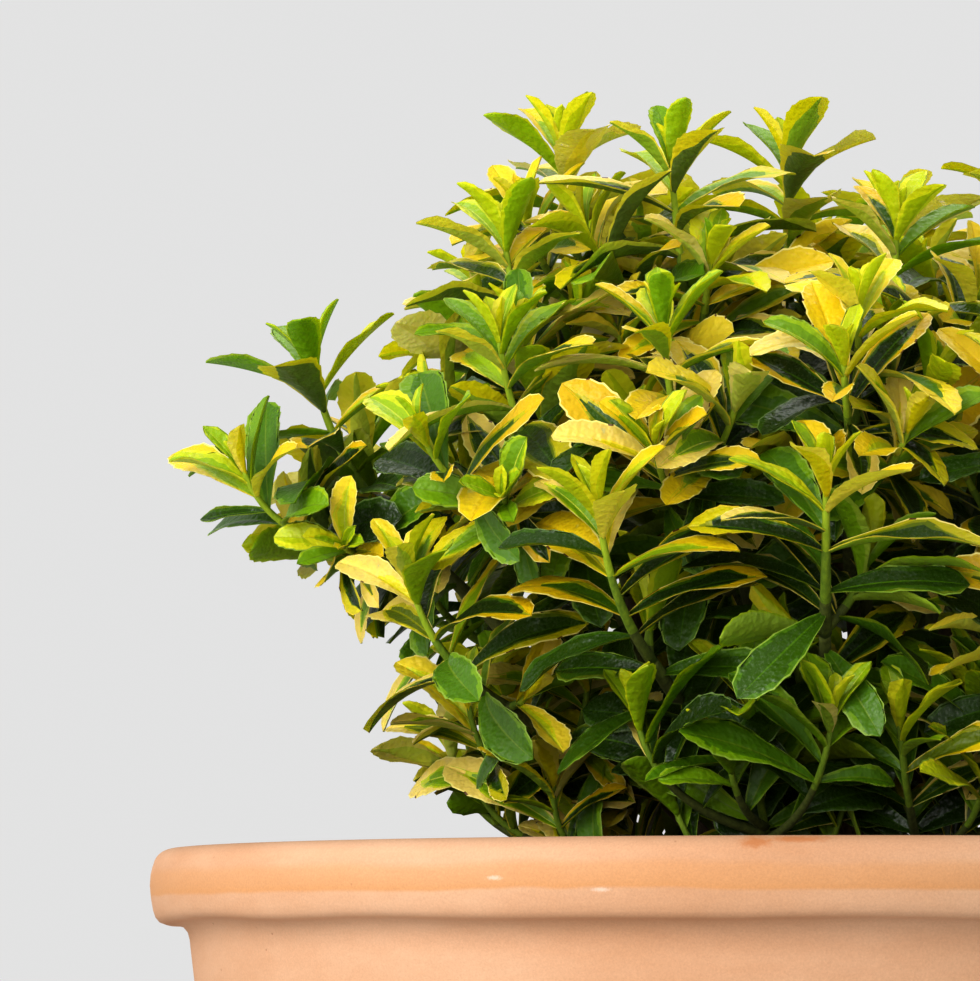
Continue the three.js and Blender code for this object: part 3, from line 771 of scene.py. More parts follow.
# The dark greens are glossier than the rest
LEAF_ROUGHNESS = {"deep": 0.34, "dark": 0.34, "darkest": 0.36, "mid_green": 0.36, "grey_green": 0.4}
PLAIN_LEAF_ROUGHNESS = 0.44
LEAF_GLOSS = 0.38

# A leaf's zones, from the edge line in to the rib, then the margin and middle of its underside
ZONES = ("edge", "margin", "blend", "band", "core", "rib", "under_margin", "under_middle")
# Each kind of leaf gives the colours that each zone may have. Gold is how far out the pale margin starts,
# core_to how far out the dark middle ends, and tip where the green runs out towards the leaf's tip.
LEAF_KINDS = {
    "young_lime": {
        "edge": "edge_light lime_yellow edge_light", "margin": "lime_yellow lime_yellow lime",
        "blend": "lime_yellow lime lime", "band": "lime lime lime_green",
        "core": "lime lime_green lime_green", "rib": "rib_pale",
        "under_margin": "lime_yellow lime_yellow lime", "under_middle": "lime lime lime_green",
        "gold": 0.8, "core_to": 0.4, "tip": (0.9, 1.2)},
    "young_green": {
        "edge": "edge_light", "margin": "lime lime_green", "blend": "lime_green fresh",
        "band": "lime_green fresh", "core": "fresh", "rib": "rib_pale rib_green",
        "under_margin": "lime lime_green", "under_middle": "lime_green fresh",
        "gold": 0.85, "core_to": 0.5, "tip": (0.9, 1.2)},
    "young_gold": {
        "edge": "edge_cream lime_yellow edge_cream", "margin": "gold_bright lime_yellow gold",
        "blend": "lime_yellow lime_gold lime_gold", "band": "lime_gold lime lime_gold",
        "core": "lime lime_green lime", "rib": "rib_pale",
        "under_margin": "lime_yellow lime_gold under_gold", "under_middle": "lime lime lime_gold",
        "gold": 0.6, "core_to": 0.34, "tip": (0.35, 0.9)},
    "golden": {
        "edge": "edge_cream gold_bright edge_cream edge_cream",
        "margin": "gold gold_bright gold_deep gold_pale",
        "blend": "lime_gold lime_gold gold_olive lime_gold", "band": "olive olive olive gold_olive",
        "core": "moss leaf_green mid_green moss", "rib": "moss rib_green moss olive",
        "under_margin": "under_gold under_gold gold_shade under_cream",
        "under_middle": "under_green under_pale under_grey under_green",
        "gold": 0.76, "core_to": 0.5, "tip": (0.25, 0.82)},
    "golden_dark": {
        "edge": "edge_cream", "margin": "gold gold_deep gold_pale", "blend": "gold_olive olive olive",
        "band": "moss mid_green moss", "core": "deep dark dark", "rib": "moss mid_green mid_green",
        "under_margin": "under_gold gold_shade under_gold",
        "under_middle": "under_green under_grey under_grey",
        "gold": 0.8, "core_to": 0.56, "tip": (0.4, 0.98)},
    "golden_green": {
        "edge": "edge_cream gold_bright edge_cream", "margin": "gold lime_gold gold_pale",
        "blend": "lime_gold lime lime", "band": "lime lime_green lime_green",
        "core": "lime_green fresh fresh", "rib": "lime_green rib_green rib_pale",
        "under_margin": "lime_gold under_gold under_cream",
        "under_middle": "under_green under_pale under_pale",
        "gold": 0.78, "core_to": 0.5, "tip": (0.25, 0.86)},
    "mostly_gold": {
        "edge": "edge_cream", "margin": "gold gold_bright gold_pale gold",
        "blend": "gold gold_bright gold_pale gold", "band": "lime_gold gold gold_bright lime_gold",
        "core": "gold_olive lime_green lime_gold olive", "rib": "lime_gold lime_gold lime_gold gold_olive",
        "under_margin": "under_gold under_cream under_cream under_gold",
        "under_middle": "under_gold under_gold under_cream under_gold",
        "gold": 0.5, "core_to": 0.24, "tip": (0.1, 0.6)},
    "cream": {
        "edge": "edge_cream", "margin": "cream gold_pale cream_pale", "blend": "gold_pale gold_bright cream",
        "band": "under_pale gold_olive under_pale", "core": "mid_green moss grey_green",
        "rib": "moss olive under_grey", "under_margin": "cream_pale under_cream cream_pale",
        "under_middle": "under_pale under_grey under_cream",
        "gold": 0.66, "core_to": 0.44, "tip": (0.2, 0.8)},
    "green": {
        "edge": "edge_light", "margin": "leaf_green fresh", "blend": "leaf_green fresh",
        "band": "mid_green leaf_green", "core": "mid_green leaf_green", "rib": "leaf_green rib_green",
        "under_margin": "under_green fresh", "under_middle": "under_green fresh",
        "gold": 0.88, "core_to": 0.5, "tip": (0.8, 1.2)},
    "bright_green": {
        "edge": "edge_light", "margin": "lime_green fresh", "blend": "fresh", "band": "fresh leaf_green",
        "core": "fresh leaf_green", "rib": "rib_green", "under_margin": "lime_green under_green",
        "under_middle": "under_green fresh",
        "gold": 0.85, "core_to": 0.45, "tip": (0.8, 1.2)},
    "dark": {
        "edge": "edge_dark edge_light edge_dark", "margin": "mid_green moss deep",
        "blend": "mid_green mid_green deep", "band": "deep mid_green dark", "core": "deep deep dark",
        "rib": "mid_green leaf_green deep", "under_margin": "moss under_green moss",
        "under_middle": "moss under_green mid_green",
        "gold": 0.86, "core_to": 0.5, "tip": (0.85, 1.2)},
    "dark_gold": {
        "edge": "edge_cream gold_bright edge_cream", "margin": "gold_olive lime_gold gold_pale",
        "blend": "olive", "band": "moss mid_green mid_green", "core": "deep dark deep",
        "rib": "mid_green mid_green moss", "under_margin": "under_gold under_pale under_pale",
        "under_middle": "under_green under_grey moss",
        "gold": 0.82, "core_to": 0.56, "tip": (0.45, 1.0)},
}


def kind_shares(leaf):
    """How likely each kind of leaf is, from the leaf's age and its mass's share of gold."""
    gold = leaf["mass"]["gold"]
    green = 1 - gold
    if leaf["in_shade"]:
        return {"dark": 0.6, "green": 0.25, "dark_gold": 0.15}
    if leaf["age"] < 0.2:
        return {"young_lime": 0.7, "young_green": 0.5 * green, "young_gold": 0.1 + 0.8 * gold * gold}
    if leaf["age"] < 0.5:
        return {"young_lime": 0.4, "young_gold": 0.4 * gold, "golden_green": 0.6 * gold,
                "golden": 0.35 * gold, "mostly_gold": 0.4 * gold, "bright_green": 0.6 * green,
                "young_green": 0.5 * green}
    if leaf["age"] < 0.8:
        return {"golden": 0.7 * gold, "golden_dark": 0.8 * gold, "golden_green": 0.6 * gold,
                "mostly_gold": 0.45 * gold, "cream": 0.1 * gold, "green": 0.5 * green,
                "bright_green": 0.8 * green, "dark": 0.3 * green, "dark_gold": 0.25}
    if leaf["age"] > OLD_LEAF_AGE:
        return {"golden": 0.35 * gold, "golden_dark": 0.6 * gold, "golden_green": 0.2 * gold,
                "mostly_gold": 0.14 * gold, "cream": 0.05 * gold, "green": 0.25,
                "dark": 0.9 - 0.65 * gold, "dark_gold": 0.45 - 0.1 * gold}
    return {"golden": 0.5 * gold, "golden_dark": 0.55 * gold, "golden_green": 0.3 * gold,
            "mostly_gold": 0.3 * gold, "cream": 0.06 * gold, "green": 0.3 - 0.15 * gold,
            "bright_green": 0.25 * green, "dark": 0.9 - 0.8 * gold, "dark_gold": 0.5 - 0.25 * gold}


def choose(shares, draw):
    """The name whose stretch of the shares a draw of 0 to 1 falls in."""
    mark = draw * sum(shares.values())
    for name, share in shares.items():
        mark -= share
        if mark <= 0:
            return name
    return name


def grid_faces(rows, columns, first, flip):
    """Quads of one grid of points, as corner numbers, with the row and the strip of each."""
    row, column = np.meshgrid(np.arange(rows), np.arange(columns), indexing="ij")
    a = first + row * (columns + 1) + column
    quads = np.stack([a, a + 1, a + columns + 2, a + columns + 1], axis=-1)
    if flip:
        quads = quads[..., ::-1]
    return quads.reshape(-1, 4), row.reshape(-1), column.reshape(-1)


def zone_borders(leaves, kinds, share, rng):
    """Where the core, the band and the blend end across each half of each leaf, by rows."""
    def column(rows):
        return np.array(rows)[:, None]

    pattern = column([leaf["pattern"] for leaf in leaves])
    shade = column([leaf["shade"] for leaf in leaves])
    gold = column([kind["gold"] for kind in kinds])
    core = column([kind["core_to"] for kind in kinds])
    tip_from = column([kind["tip"][0] for kind in kinds]) + 0.2 * (pattern - 0.5)
    tip_to = column([kind["tip"][1] for kind in kinds]) + 0.2 * (shade - 0.5)
    run_out = 1 - np.clip((share - tip_from) / (tip_to - tip_from), 0, 1) ** 1.5
    halves = []
    for half in (0, 1):
        tilt = (0.5 - half) * 0.9 * (shade - 0.5) + 0.12 * (pattern - 0.5)
        slow = np.sin(math.tau * (share * (1.1 + 1.5 * pattern) + pattern * 7.1 + half * 0.31))
        quick = np.sin(math.tau * (share * (4.0 + 3 * shade) + shade * 3.3 + half * 0.57))
        feather = rng.uniform(-1, 1, (2, len(leaves), share.shape[1]))
        wander = 0.07 * slow + 0.04 * quick + 0.055 * feather[0]
        blend_to = np.clip((gold + tilt + wander) * run_out, 0.18, 0.9)
        core_to = (core + tilt * 0.8 + 0.06 * slow + 0.09 * feather[1]) * run_out
        core_to = np.clip(core_to, 0.09, blend_to - 0.07)
        halves.append((core_to, core_to + (blend_to - core_to) * 0.6, blend_to))
    return halves[0], halves[1], run_out


def zone_colours(leaves, kinds, zones, faded, rng):
    """A slot for each face: the leaf's own pick in each zone, and its margin's where the green has faded."""
    table = np.zeros((len(leaves), len(ZONES)), int)
    for i, (leaf, kind) in enumerate(zip(leaves, kinds)):
        pick = int(leaf["shade"] * 97)
        choices = [kind[zone].split() for zone in ZONES]
        table[i] = [LEAF_SLOTS[names[pick % len(names)]] for names in choices]
    faded = faded + rng.uniform(-0.12, 0.12, faded.shape) + FADE_LATER[zones]
    feathered = (zones[None] == BLEND) & (rng.uniform(size=faded.shape) < 0.3)
    zone_of = np.where(feathered, BLEND + 1, zones[None])
    fading = (faded < 0.5) & np.isin(zone_of, GREEN_ZONES)
    zone_of = np.where(fading, np.where(faded < 0.3, BLEND - 1, BLEND), zone_of)
    return table[np.arange(len(leaves))[:, None], zone_of]


TOP_ZONES = np.array([ZONES.index(zone) for zone in (
    "edge", "margin", "blend", "band", "core", "rib", "core", "band", "blend", "margin", "edge")])
UNDER_ZONES = np.array([ZONES.index(zone) for zone in (
    "under_margin", "under_middle", "under_middle", "under_margin")])
BLEND = ZONES.index("blend")
GREEN_ZONES = [ZONES.index(zone) for zone in ("band", "core", "rib")]
# The green of the core and the rib runs on towards the tip past the band's, so it ends in a point
FADE_LATER = np.array([{"core": 0.16, "rib": 0.26}.get(zone, 0.0) for zone in ZONES])
# How far the underside lies below the upper side: a sharp edge, and a keel under the rib
UNDER_LIFTS = np.array([-0.04, -LEAF_THICKNESS, -LEAF_THICKNESS * 1.7, -LEAF_THICKNESS, -0.04])
EDGE_LINE = 0.915
MARGIN_COLUMNS = [0, 1, 10, 11]
TEETH_SHARES = (0.16, 0.985)
TOOTH_VALLEY = 0.92
TOOTH_LEAN = 0.45
RIB_HALF_WIDTH = 0.045
SPOTTED_AGE = 0.4
SPOTTED_SHARE = 0.22


def leaf_arrays(leaves, rows):
    """Points, quads and material numbers of many leaves with the same number of rows."""
    keys = LEAF_AXES + LEAF_SHAPE
    stacked = {key: np.array([leaf[key] for leaf in leaves]) for key in keys}
    count, strips = len(leaves), len(TOP_ZONES)
    kinds = [LEAF_KINDS[choose(kind_shares(leaf), leaf["kind"])] for leaf in leaves]
    rng = np.random.default_rng(SEED + rows)
    share = 1 - np.linspace(1, 0, rows + 1)[None, :] ** ROW_CROWDING
    even = (np.arange(rows + 1) % 2 == 0)[None, :]
    left, right, run_out = zone_borders(leaves, kinds, share, rng)
    whole = np.ones((count, rows + 1))
    rib = whole * RIB_HALF_WIDTH * (1.5 - share)
    aside = np.stack([-whole, -whole * EDGE_LINE, -left[2], -left[1], -left[0], -rib,
                      rib, right[0], right[1], right[2], whole * EDGE_LINE, whole], axis=2)
    toothed = (share > TEETH_SHARES[0]) & (share < TEETH_SHARES[1])
    margin = np.where(even & toothed, TOOTH_VALLEY, 1.0)
    aside[:, :, MARGIN_COLUMNS] *= margin[..., None]
    run = np.repeat(share[:, :, None], strips + 1, axis=2)
    run[:, :, MARGIN_COLUMNS] += np.where(toothed & ~even, TOOTH_LEAN / rows, 0)[..., None]
    far = np.abs(aside)
    relief = 0.06 * np.where(even, 1.0, -1.0)[..., None] * far * (1 - far) * 4 - 0.2 * (far < 0.09)
    top = leaf_surface(stacked, run, aside, relief)

    edges = aside[:, :, [0, -1]]
    under_aside = np.stack([edges[..., 0], -left[2], 0 * rib, right[2], edges[..., 1]], axis=2)
    under_run = np.concatenate([run[:, :, :1], run[:, :, 4:7], run[:, :, -1:]], axis=2)
    under = leaf_surface(stacked, under_run, under_aside, UNDER_LIFTS[None, None, :])

    top_quads, top_row, top_strip = grid_faces(rows, strips, 0, False)
    under_first = (rows + 1) * (strips + 1)
    under_quads, under_row, under_strip = grid_faces(rows, len(UNDER_ZONES), under_first, True)
    points = np.concatenate([top.reshape(count, -1, 3), under.reshape(count, -1, 3)], axis=1)
    offsets = (np.arange(count) * points.shape[1])[:, None, None]
    quads = np.concatenate([top_quads, under_quads])[None] + offsets
    zones = np.concatenate([TOP_ZONES[top_strip], UNDER_ZONES[under_strip]])
    faded = np.concatenate([run_out[:, top_row], run_out[:, under_row]], axis=1)
    slots = zone_colours(leaves, kinds, zones, faded, rng)
    golden = np.isin(slots[:, :len(top_strip)], [LEAF_SLOTS["edge_cream"], LEAF_SLOTS["gold_bright"]])
    golden &= np.array([leaf["age"] > SPOTTED_AGE for leaf in leaves])[:, None]
    on_edge = (TOP_ZONES[top_strip] == 0) & (top_row % 2 == 1)
    dotted = golden & on_edge[None] & (rng.uniform(size=golden.shape) < SPOTTED_SHARE)
    slots[:, :len(top_strip)][dotted] = LEAF_SLOTS["spot"]
    return points.reshape(-1, 3), quads.reshape(-1, 4), slots.reshape(-1)


def mesh_from(name, points, quads, materials, slots=None, smooth=True):
    """A mesh object from arrays of points in millimetres and of quads."""
    mesh = bpy.data.meshes.new(name)
    mesh.vertices.add(len(points))
    mesh.vertices.foreach_set("co", (points * MM).astype(np.float32).reshape(-1))
    mesh.loops.add(quads.size)
    mesh.loops.foreach_set("vertex_index", quads.astype(np.int32).reshape(-1))
    mesh.polygons.add(len(quads))
    mesh.polygons.foreach_set("loop_start", np.arange(0, quads.size, 4, dtype=np.int32))
    for material in materials:
        mesh.materials.append(material)
    if slots is not None:
        mesh.polygons.foreach_set("material_index", slots.astype(np.int32))
    mesh.polygons.foreach_set("use_smooth", np.full(len(quads), smooth))
    mesh.update(calc_edges=True)
    mesh.validate()
    piece = bpy.data.objects.new(name, mesh)
    bpy.context.scene.collection.objects.link(piece)
    return piece


def join_arrays(parts):
    """Several (points, quads, slots) as one."""
    points, quads, slots, first = [], [], [], 0
    for part_points, part_quads, part_slots in parts:
        points.append(part_points)
        quads.append(part_quads + first)
        slots.append(part_slots)
        first += len(part_points)
    return np.concatenate(points), np.concatenate(quads), np.concatenate(slots)


def ring_quads(rings, segments):
    """Quads between rings of points, each ring closed on itself."""
    row, column = np.meshgrid(np.arange(rings - 1), np.arange(segments), indexing="ij")
    a = row * segments + column
    b = row * segments + (column + 1) % segments
    return np.stack([a, b, b + segments, a + segments], axis=-1).reshape(-1, 4)


def limb_arrays(limb, tip_radius, sides, spacing, slots_from, relief):
    """A round limb that tapers along its curve, closed at both ends by a small point. Each next material
    slot starts at one of the given shares of its length."""
    curve = limb["curve"]
    steps = max(3, int(curve.length / spacing))
    shares = np.linspace(0, 1, steps + 1)
    radii = limb["foot"] + (tip_radius - limb["foot"]) * shares
    middle = curve.at(shares)
    tangents = np.gradient(middle, axis=0)
    tangents /= np.linalg.norm(tangents, axis=1)[:, None]
    across = around_shoot(tangents[0], 0.0)
    turns = np.linspace(0, math.tau, sides, endpoint=False)
    rings = [np.repeat(middle[:1], sides, axis=0)]
    for share, radius, place, along in zip(shares, radii, middle, tangents):
        across = unit(across - along * (across @ along))
        over = np.cross(along, across)
        rough = radius * (1 + relief(share * curve.length, turns))
        rings.append(place + np.outer(np.cos(turns) * rough, across) + np.outer(np.sin(turns) * rough, over))
    rings.append(np.repeat((middle[-1] + tangents[-1] * radii[-1] * 0.8)[None], sides, axis=0))
    quad_shares = shares[np.clip(np.arange(steps + 2) - 1, 0, steps)]
    slots = np.searchsorted(slots_from, quad_shares, side="right")
    return np.concatenate(rings), ring_quads(steps + 3, sides), np.repeat(slots, sides)


# Pot, soil and stem

def pot_profile():
    """The pot's section from its foot, up the wall, round the roll and down the inside."""
    roll_foot = RIM - ROLL_HEIGHT
    base_radius = WALL_TOP_RADIUS - WALL_TAPER * roll_foot
    foot_radius = base_radius - FOOT_EDGE
    fillet_foot = roll_foot - FILLET_HEIGHT
    fillet_radius = WALL_TOP_RADIUS - WALL_TAPER * FILLET_HEIGHT
    inner_top = WALL_TOP_RADIUS - WALL_THICKNESS
    wide, high = ROLL_CROWN["wide"], ROLL_CROWN["high"]
    points = [(0, 0), (base_radius * 0.5, 0), (foot_radius, 0)]
    points += arc_points(foot_radius, FOOT_EDGE, FOOT_EDGE, FOOT_EDGE, -90, 0, 5)
    points += [(WALL_TOP_RADIUS - WALL_TAPER * (roll_foot - height), height)
               for height in np.linspace(WALL_START, fillet_foot, 40)]
    points += [(fillet_radius + out, fillet_foot + up) for out, up in FILLET_OUTLINE]
    points += [(radius, roll_foot + up) for radius, up in ROLL_OUTLINE]
    points += arc_points(ROLL_CROWN["radius"], RIM - high, wide, high, 12, 90, 7)
    points += [(radius, RIM + up) for radius, up in ROLL_FLAT]
    points += arc_points(inner_top + LIP_INSET, RIM - high, high, high, 90, 180, 7)
    points += [(inner_top + out, RIM + up) for out, up in LIP_OUTLINE]
    points += [(inner_radius(height), height)
               for height in np.linspace(RIM - INNER_WALL_START, FLOOR_THICKNESS, 24)]
    points.append((0, FLOOR_THICKNESS))
    return np.array(points, float)


def arc_points(centre_radius, centre_height, wide, high, start, end, steps):
    turns = np.radians(np.linspace(start, end, steps + 1))
    return [(centre_radius + wide * math.cos(t), centre_height + high * math.sin(t)) for t in turns]


def ring_waves(turns, seed, strength, lowest, highest):
    """A smooth closed wobble round a ring."""
    rng = np.random.default_rng(seed)
    total = np.zeros_like(turns)
    for count in range(lowest, highest):
        total += rng.normal() / math.sqrt(count) * np.cos(count * turns + rng.uniform(0, math.tau))
    return strength * total


def rings_round(radii, heights, turns):
    """Rings of points about the upright axis. Radii and heights have one row for each ring."""
    parts = np.broadcast_arrays(radii * np.cos(turns), radii * np.sin(turns), heights)
    return np.stack(parts, axis=-1)


def full_turn(segments):
    return np.linspace(0, math.tau, segments, endpoint=False)


def make_pot(clay):
    radius, height = pot_profile().T[..., None]
    turns = full_turn(POT_SEGMENTS)
    under_roll = np.exp(-((height - (RIM - ROLL_HEIGHT)) / 4.5) ** 2) * (radius > ROLL_INNER_RADIUS)
    crown_roll = np.exp(-((height - (RIM - 9)) / 9.0) ** 2) * (radius > ROLL_INNER_RADIUS)
    lift = under_roll * ring_waves(turns, 3, 0.42, 3, 18)
    breathe = crown_roll * ring_waves(turns, 5, 0.12, 2, 9) - 0.25 * crown_roll
    points = rings_round(np.maximum(radius + breathe, 0), height + lift, turns)
    return mesh_from("terracotta_pot", points.reshape(-1, 3), ring_quads(len(points), POT_SEGMENTS), [clay])


PEACH_RAMP = [(0.3, linear(194, 150, 116)), (0.5, linear(201, 160, 128)), (0.72, linear(208, 171, 141))]
ORANGE = linear(201, 148, 97)
PIT_BROWN = linear(150, 104, 72)
RUST = linear(176, 108, 52)
SCUFF = linear(224, 210, 196)
# How strongly the orange band shows from the roll's foot, 0, to the rim, 1
ROLL_BAND = [(0.0, 0.0), (0.37, 0.0), (0.42, 1.0), (0.5, 0.82), (0.62, 0.66), (0.76, 0.0), (1.0, 0.0)]
BAND_HEIGHT = 26
BAND_SHIFT = 0.0017
# Places and sizes of marks on the roll, in metres
RUST_MARKS = [((-0.019, -0.216, 0.3578), (0.006, 0.02, 0.0026)),
              ((-0.006, -0.216, 0.3588), (0.011, 0.02, 0.0014))]
SCUFF_PLACES = [(-0.0975, -0.197, 0.3477), (-0.0652, -0.2095, 0.3440)]
SCUFF_SIZE = (0.0034, 0.02, 0.0009)


def clay_material():
    """Unglazed peach clay: cloudy colour, a glossier orange band on the roll, grain, pits and scuffs, and
    painted shade on the rim's top.
    """
    clay = Surface("terracotta")
    height = clay.add("SeparateXYZ", "Z", {"Vector": clay.place})
    colour = clay.ramp(clay.noise(9.0, 6.0, 0.62, stretch=(1.0, 1.0, 3.2)), PEACH_RAMP)

    wobbly = clay.maths("MULTIPLY_ADD", clay.noise(24.0, 2.0), 0.0035, height)
    band_foot, band_top = (RIM - BAND_HEIGHT) * MM + BAND_SHIFT, RIM * MM + BAND_SHIFT
    stops = [(position, (value, value, value, 1)) for position, value in ROLL_BAND]
    band = clay.ramp(clay.spread(wobbly, band_foot, band_top, 0, 1), stops, "EASE")
    colour = clay.lay_over(colour, band, ORANGE, 0.75)

    grains = clay.noise(1400.0, 3.0, 0.7)
    colour = clay.scale_colour(colour, clay.spread(grains, 0.3, 0.7, 0.93, 1.06))

    cells = clay.add("TexVoronoi", "Distance", {"Vector": clay.place, "Scale": 170.0})
    here_and_there = clay.spread(clay.noise(31.0, 1.0), 0.56, 0.64, 0, 1)
    pits = clay.maths("MULTIPLY", clay.spread(cells, 0.02, 0.09, 1, 0), here_and_there)
    colour = clay.lay_over(colour, pits, PIT_BROWN, 0.75)

    # Painted shade: the colour darkens towards the rim's top, which tones down how brightly the lamps from
    # above light its upward faces.
    colour = clay.scale_colour(colour, clay.spread(height, (RIM - 4) * MM, RIM * MM, 1, 0.84))
    for place, size in RUST_MARKS:
        colour = clay.lay_over(colour, clay.patch(place, size, 420.0), RUST, 0.6)
    scuffs = [clay.patch(place, SCUFF_SIZE, 1500.0) for place in SCUFF_PLACES]
    colour = clay.lay_over(colour, clay.maths("ADD", *scuffs), SCUFF, 0.5)

    grain_height = clay.maths("MULTIPLY", grains, 0.18)
    rough = clay.maths("ADD", clay.noise(60.0, 3.0), grain_height)
    surface = clay.maths("ADD", rough, clay.maths("MULTIPLY", pits, -0.6))
    shine = clay.spread(band, 0, 1, 0.8, 0.62)
    inputs = {"Base Color": colour, "Roughness": shine, "Specular IOR Level": 0.2}
    return clay.finish(inputs, surface, 0.35, 0.0012)


def make_soil(compost):
    """Crumbly compost: an uneven top, with loose crumbs on it, in the pot's hollow."""
    edge_radius = inner_radius(SOIL_TOP - SOIL_DISH) - CLEARANCE * 2
    foot_radius = inner_radius(SOIL_FOOT) - CLEARANCE * 2
    turns = full_turn(SOIL_SEGMENTS)
    radii = (edge_radius * np.linspace(1, 0, SOIL_RINGS + 1) ** 0.9)[:, None]
    rng = np.random.default_rng(11)
    rough = rng.normal(size=(SOIL_RINGS + 1, SOIL_SEGMENTS))
    for _ in range(2):
        rough = (rough + np.roll(rough, 1, 1) + np.roll(rough, -1, 1)) / 1.8
        rough[1:-1] = (rough[:-2] + rough[1:-1] + rough[2:]) / 2.2
    rough[-1] = 0
    level_edge = np.clip((edge_radius - radii) / 8, 0, 1)
    dish = np.clip((radii - SOIL_FLAT_RADIUS) / (edge_radius - SOIL_FLAT_RADIUS), 0, 1) * SOIL_DISH
    height = SOIL_TOP - 1.2 - dish + np.clip(rough * 0.8, -1.8, 1.1) * level_edge
    foot = rings_round(np.array([[0.0], [foot_radius]]), SOIL_FOOT, turns)
    points = np.concatenate([foot, rings_round(radii, height, turns)])
    quads = ring_quads(len(points), SOIL_SEGMENTS)
    parts = [(points.reshape(-1, 3), quads, np.zeros(len(quads)))]
    for _ in range(CRUMBS):
        radius = edge_radius * 0.97 * math.sqrt(rng.uniform())
        bearing = rng.uniform(0, math.tau)
        size = rng.uniform(0.9, 3.2) * (0.6 if rng.uniform() < 0.7 else 1.0)
        sink = max(radius - SOIL_FLAT_RADIUS, 0) / (edge_radius - SOIL_FLAT_RADIUS) * SOIL_DISH
        centre = (radius * math.cos(bearing), radius * math.sin(bearing), SOIL_TOP - 1.1 - sink)
        parts.append(crumb_arrays(rng, np.array(centre), size))
    return mesh_from("potting_compost", *join_arrays(parts)[:2], [compost])


CRUMB_CORNERS = np.array([(x, y, z) for z in (-1, 1) for y in (-1, 1) for x in (-1, 1)], float)
CRUMB_QUADS = np.array([(0, 2, 3, 1), (4, 5, 7, 6), (0, 1, 5, 4), (1, 3, 7, 5), (3, 2, 6, 7), (2, 0, 4, 6)])


def crumb_arrays(rng, centre, size):
    corners = CRUMB_CORNERS * rng.uniform(0.45, 0.8, (8, 1)) * size * (1, 1, 0.7)
    bearing = rng.uniform(0, math.tau)
    ahead, aside = math.cos(bearing), math.sin(bearing)
    turn = np.array([[ahead, -aside, 0], [aside, ahead, 0], [0, 0, 1]])
    return corners @ turn.T + centre, CRUMB_QUADS, np.zeros(6)


def compost_material():
    compost = Surface("compost")
    crumbs = compost.noise(260.0, 6.0, 0.7)
    colour = compost.ramp(crumbs, [(0.3, linear(34, 24, 17)), (0.75, linear(92, 68, 48))])
    return compost.finish({"Base Color": colour, "Roughness": 0.95}, crumbs, 0.9, 0.002)


def bark_material(name, dark, light, scale):
    """Fine-ribbed bark: dark and light streaks that run up the limb."""
    bark = Surface(name)
    streaks = bark.noise(scale, 6.0, 0.65, stretch=(1.0, 1.0, 0.28))
    colour = bark.ramp(streaks, [(0.32, linear(*dark)), (0.7, linear(*light))])
    return bark.finish({"Base Color": colour, "Roughness": 0.78}, streaks, 0.6, 0.0008)


def bark_relief(run, turns):
    """Ribs and cracks of old bark, as a share of the limb's radius."""
    ribs = 0.05 * np.cos(6 * turns + 0.03 * run) + 0.03 * np.cos(11 * turns - 0.05 * run + 1.3)
    knots = 0.04 * np.sin(0.35 * run + 1.1 * np.cos(turns))
    return ribs + knots


def shoot_relief(run, turns):
    """The four faint corners of a green shoot, and its swollen joints."""
    return 0.06 * np.cos(4 * turns) + 0.05 * math.sin(run * 0.55) ** 8


def make_stem(bark):
    """The short stem: root flare, ribs and cracked bark, from the soil to its crown of boughs."""
    heights = np.concatenate([np.linspace(0, 4, 6), np.linspace(5, STEM_HEIGHT - 1, 26), [STEM_HEIGHT]])
    outline = np.interp(heights, STEM_OUTLINE_HEIGHTS, STEM_RADII) - STEM_INSET
    foot, top = SOIL_TOP + CLEARANCE, SOIL_TOP + STEM_HEIGHT
    profile = [(0, foot), *zip(outline, foot + heights * (1 - CLEARANCE / STEM_HEIGHT))]
    profile += [(STEM_RADII[-1] * 0.5, top), (0, top)]
    radius, height = np.array(profile, float).T[..., None]
    turns = full_turn(STEM_SEGMENTS)
    ribs = 1 + STEM_RIB_DEPTH * np.cos(STEM_RIBS * turns)
    rng = np.random.default_rng(21)
    cracks = np.zeros((len(profile), STEM_SEGMENTS))
    for count in (13, 19, 27):
        lean = rng.uniform(-0.06, 0.06)
        cracks += np.abs(np.cos(count * (turns + lean * height) + rng.uniform(0, 6)))
    cracks = (cracks / 3 - 0.64) * 1.4
    lump = 1 + (cracks - 0.3) / np.maximum(radius, 6)
    points = rings_round(radius, height, turns)
    points[..., :2] *= (ribs * lump)[..., None]
    return mesh_from("stem_bark", points.reshape(-1, 3), ring_quads(len(points), STEM_SEGMENTS), [bark])


def make_boughs(materials):
    """Every bough as a tapering limb with ribbed bark, brown at its foot and green at its tip."""
    parts = [limb_arrays(bough, BOUGH_TIP_RADIUS, 12, 2.2, [0.45], bark_relief) for bough in boughs.values()]
    points, quads, slots = join_arrays(parts)
    return mesh_from("bough_bark", points, quads, materials, slots)


def make_twigs(side, shoots, materials):
    """A side's leaders and shoots: olive at the foot, fresh green towards the tip."""
    parts = [limb_arrays(shoot, SHOOT_TIP_RADIUS, 8, 3.2, [0.25, 0.6], shoot_relief) for shoot in shoots]
    points, quads, slots = join_arrays(parts)
    return mesh_from(f"twigs_{side}", points, quads, materials, slots)


def leaf_rows(leaf):
    """How many rows of faces a leaf gets: more where it shows more."""
    if leaf["length"] <= SMALL_LEAF:
        return SMALL_LEAF_ROWS
    return OLD_LEAF_ROWS if leaf["age"] > OLD_LEAF_AGE else LEAF_ROWS


def make_leaves_piece(side, leaves, materials):
    parts = []
    for rows in (LEAF_ROWS, OLD_LEAF_ROWS, SMALL_LEAF_ROWS):
        alike = [leaf for leaf in leaves if leaf_rows(leaf) == rows]
        if alike:
            parts.append(leaf_arrays(alike, rows))
    points, quads, slots = join_arrays(parts)
    return mesh_from(f"leaves_{side}", points, quads, materials, slots)


# Camera, light and floor, in metres

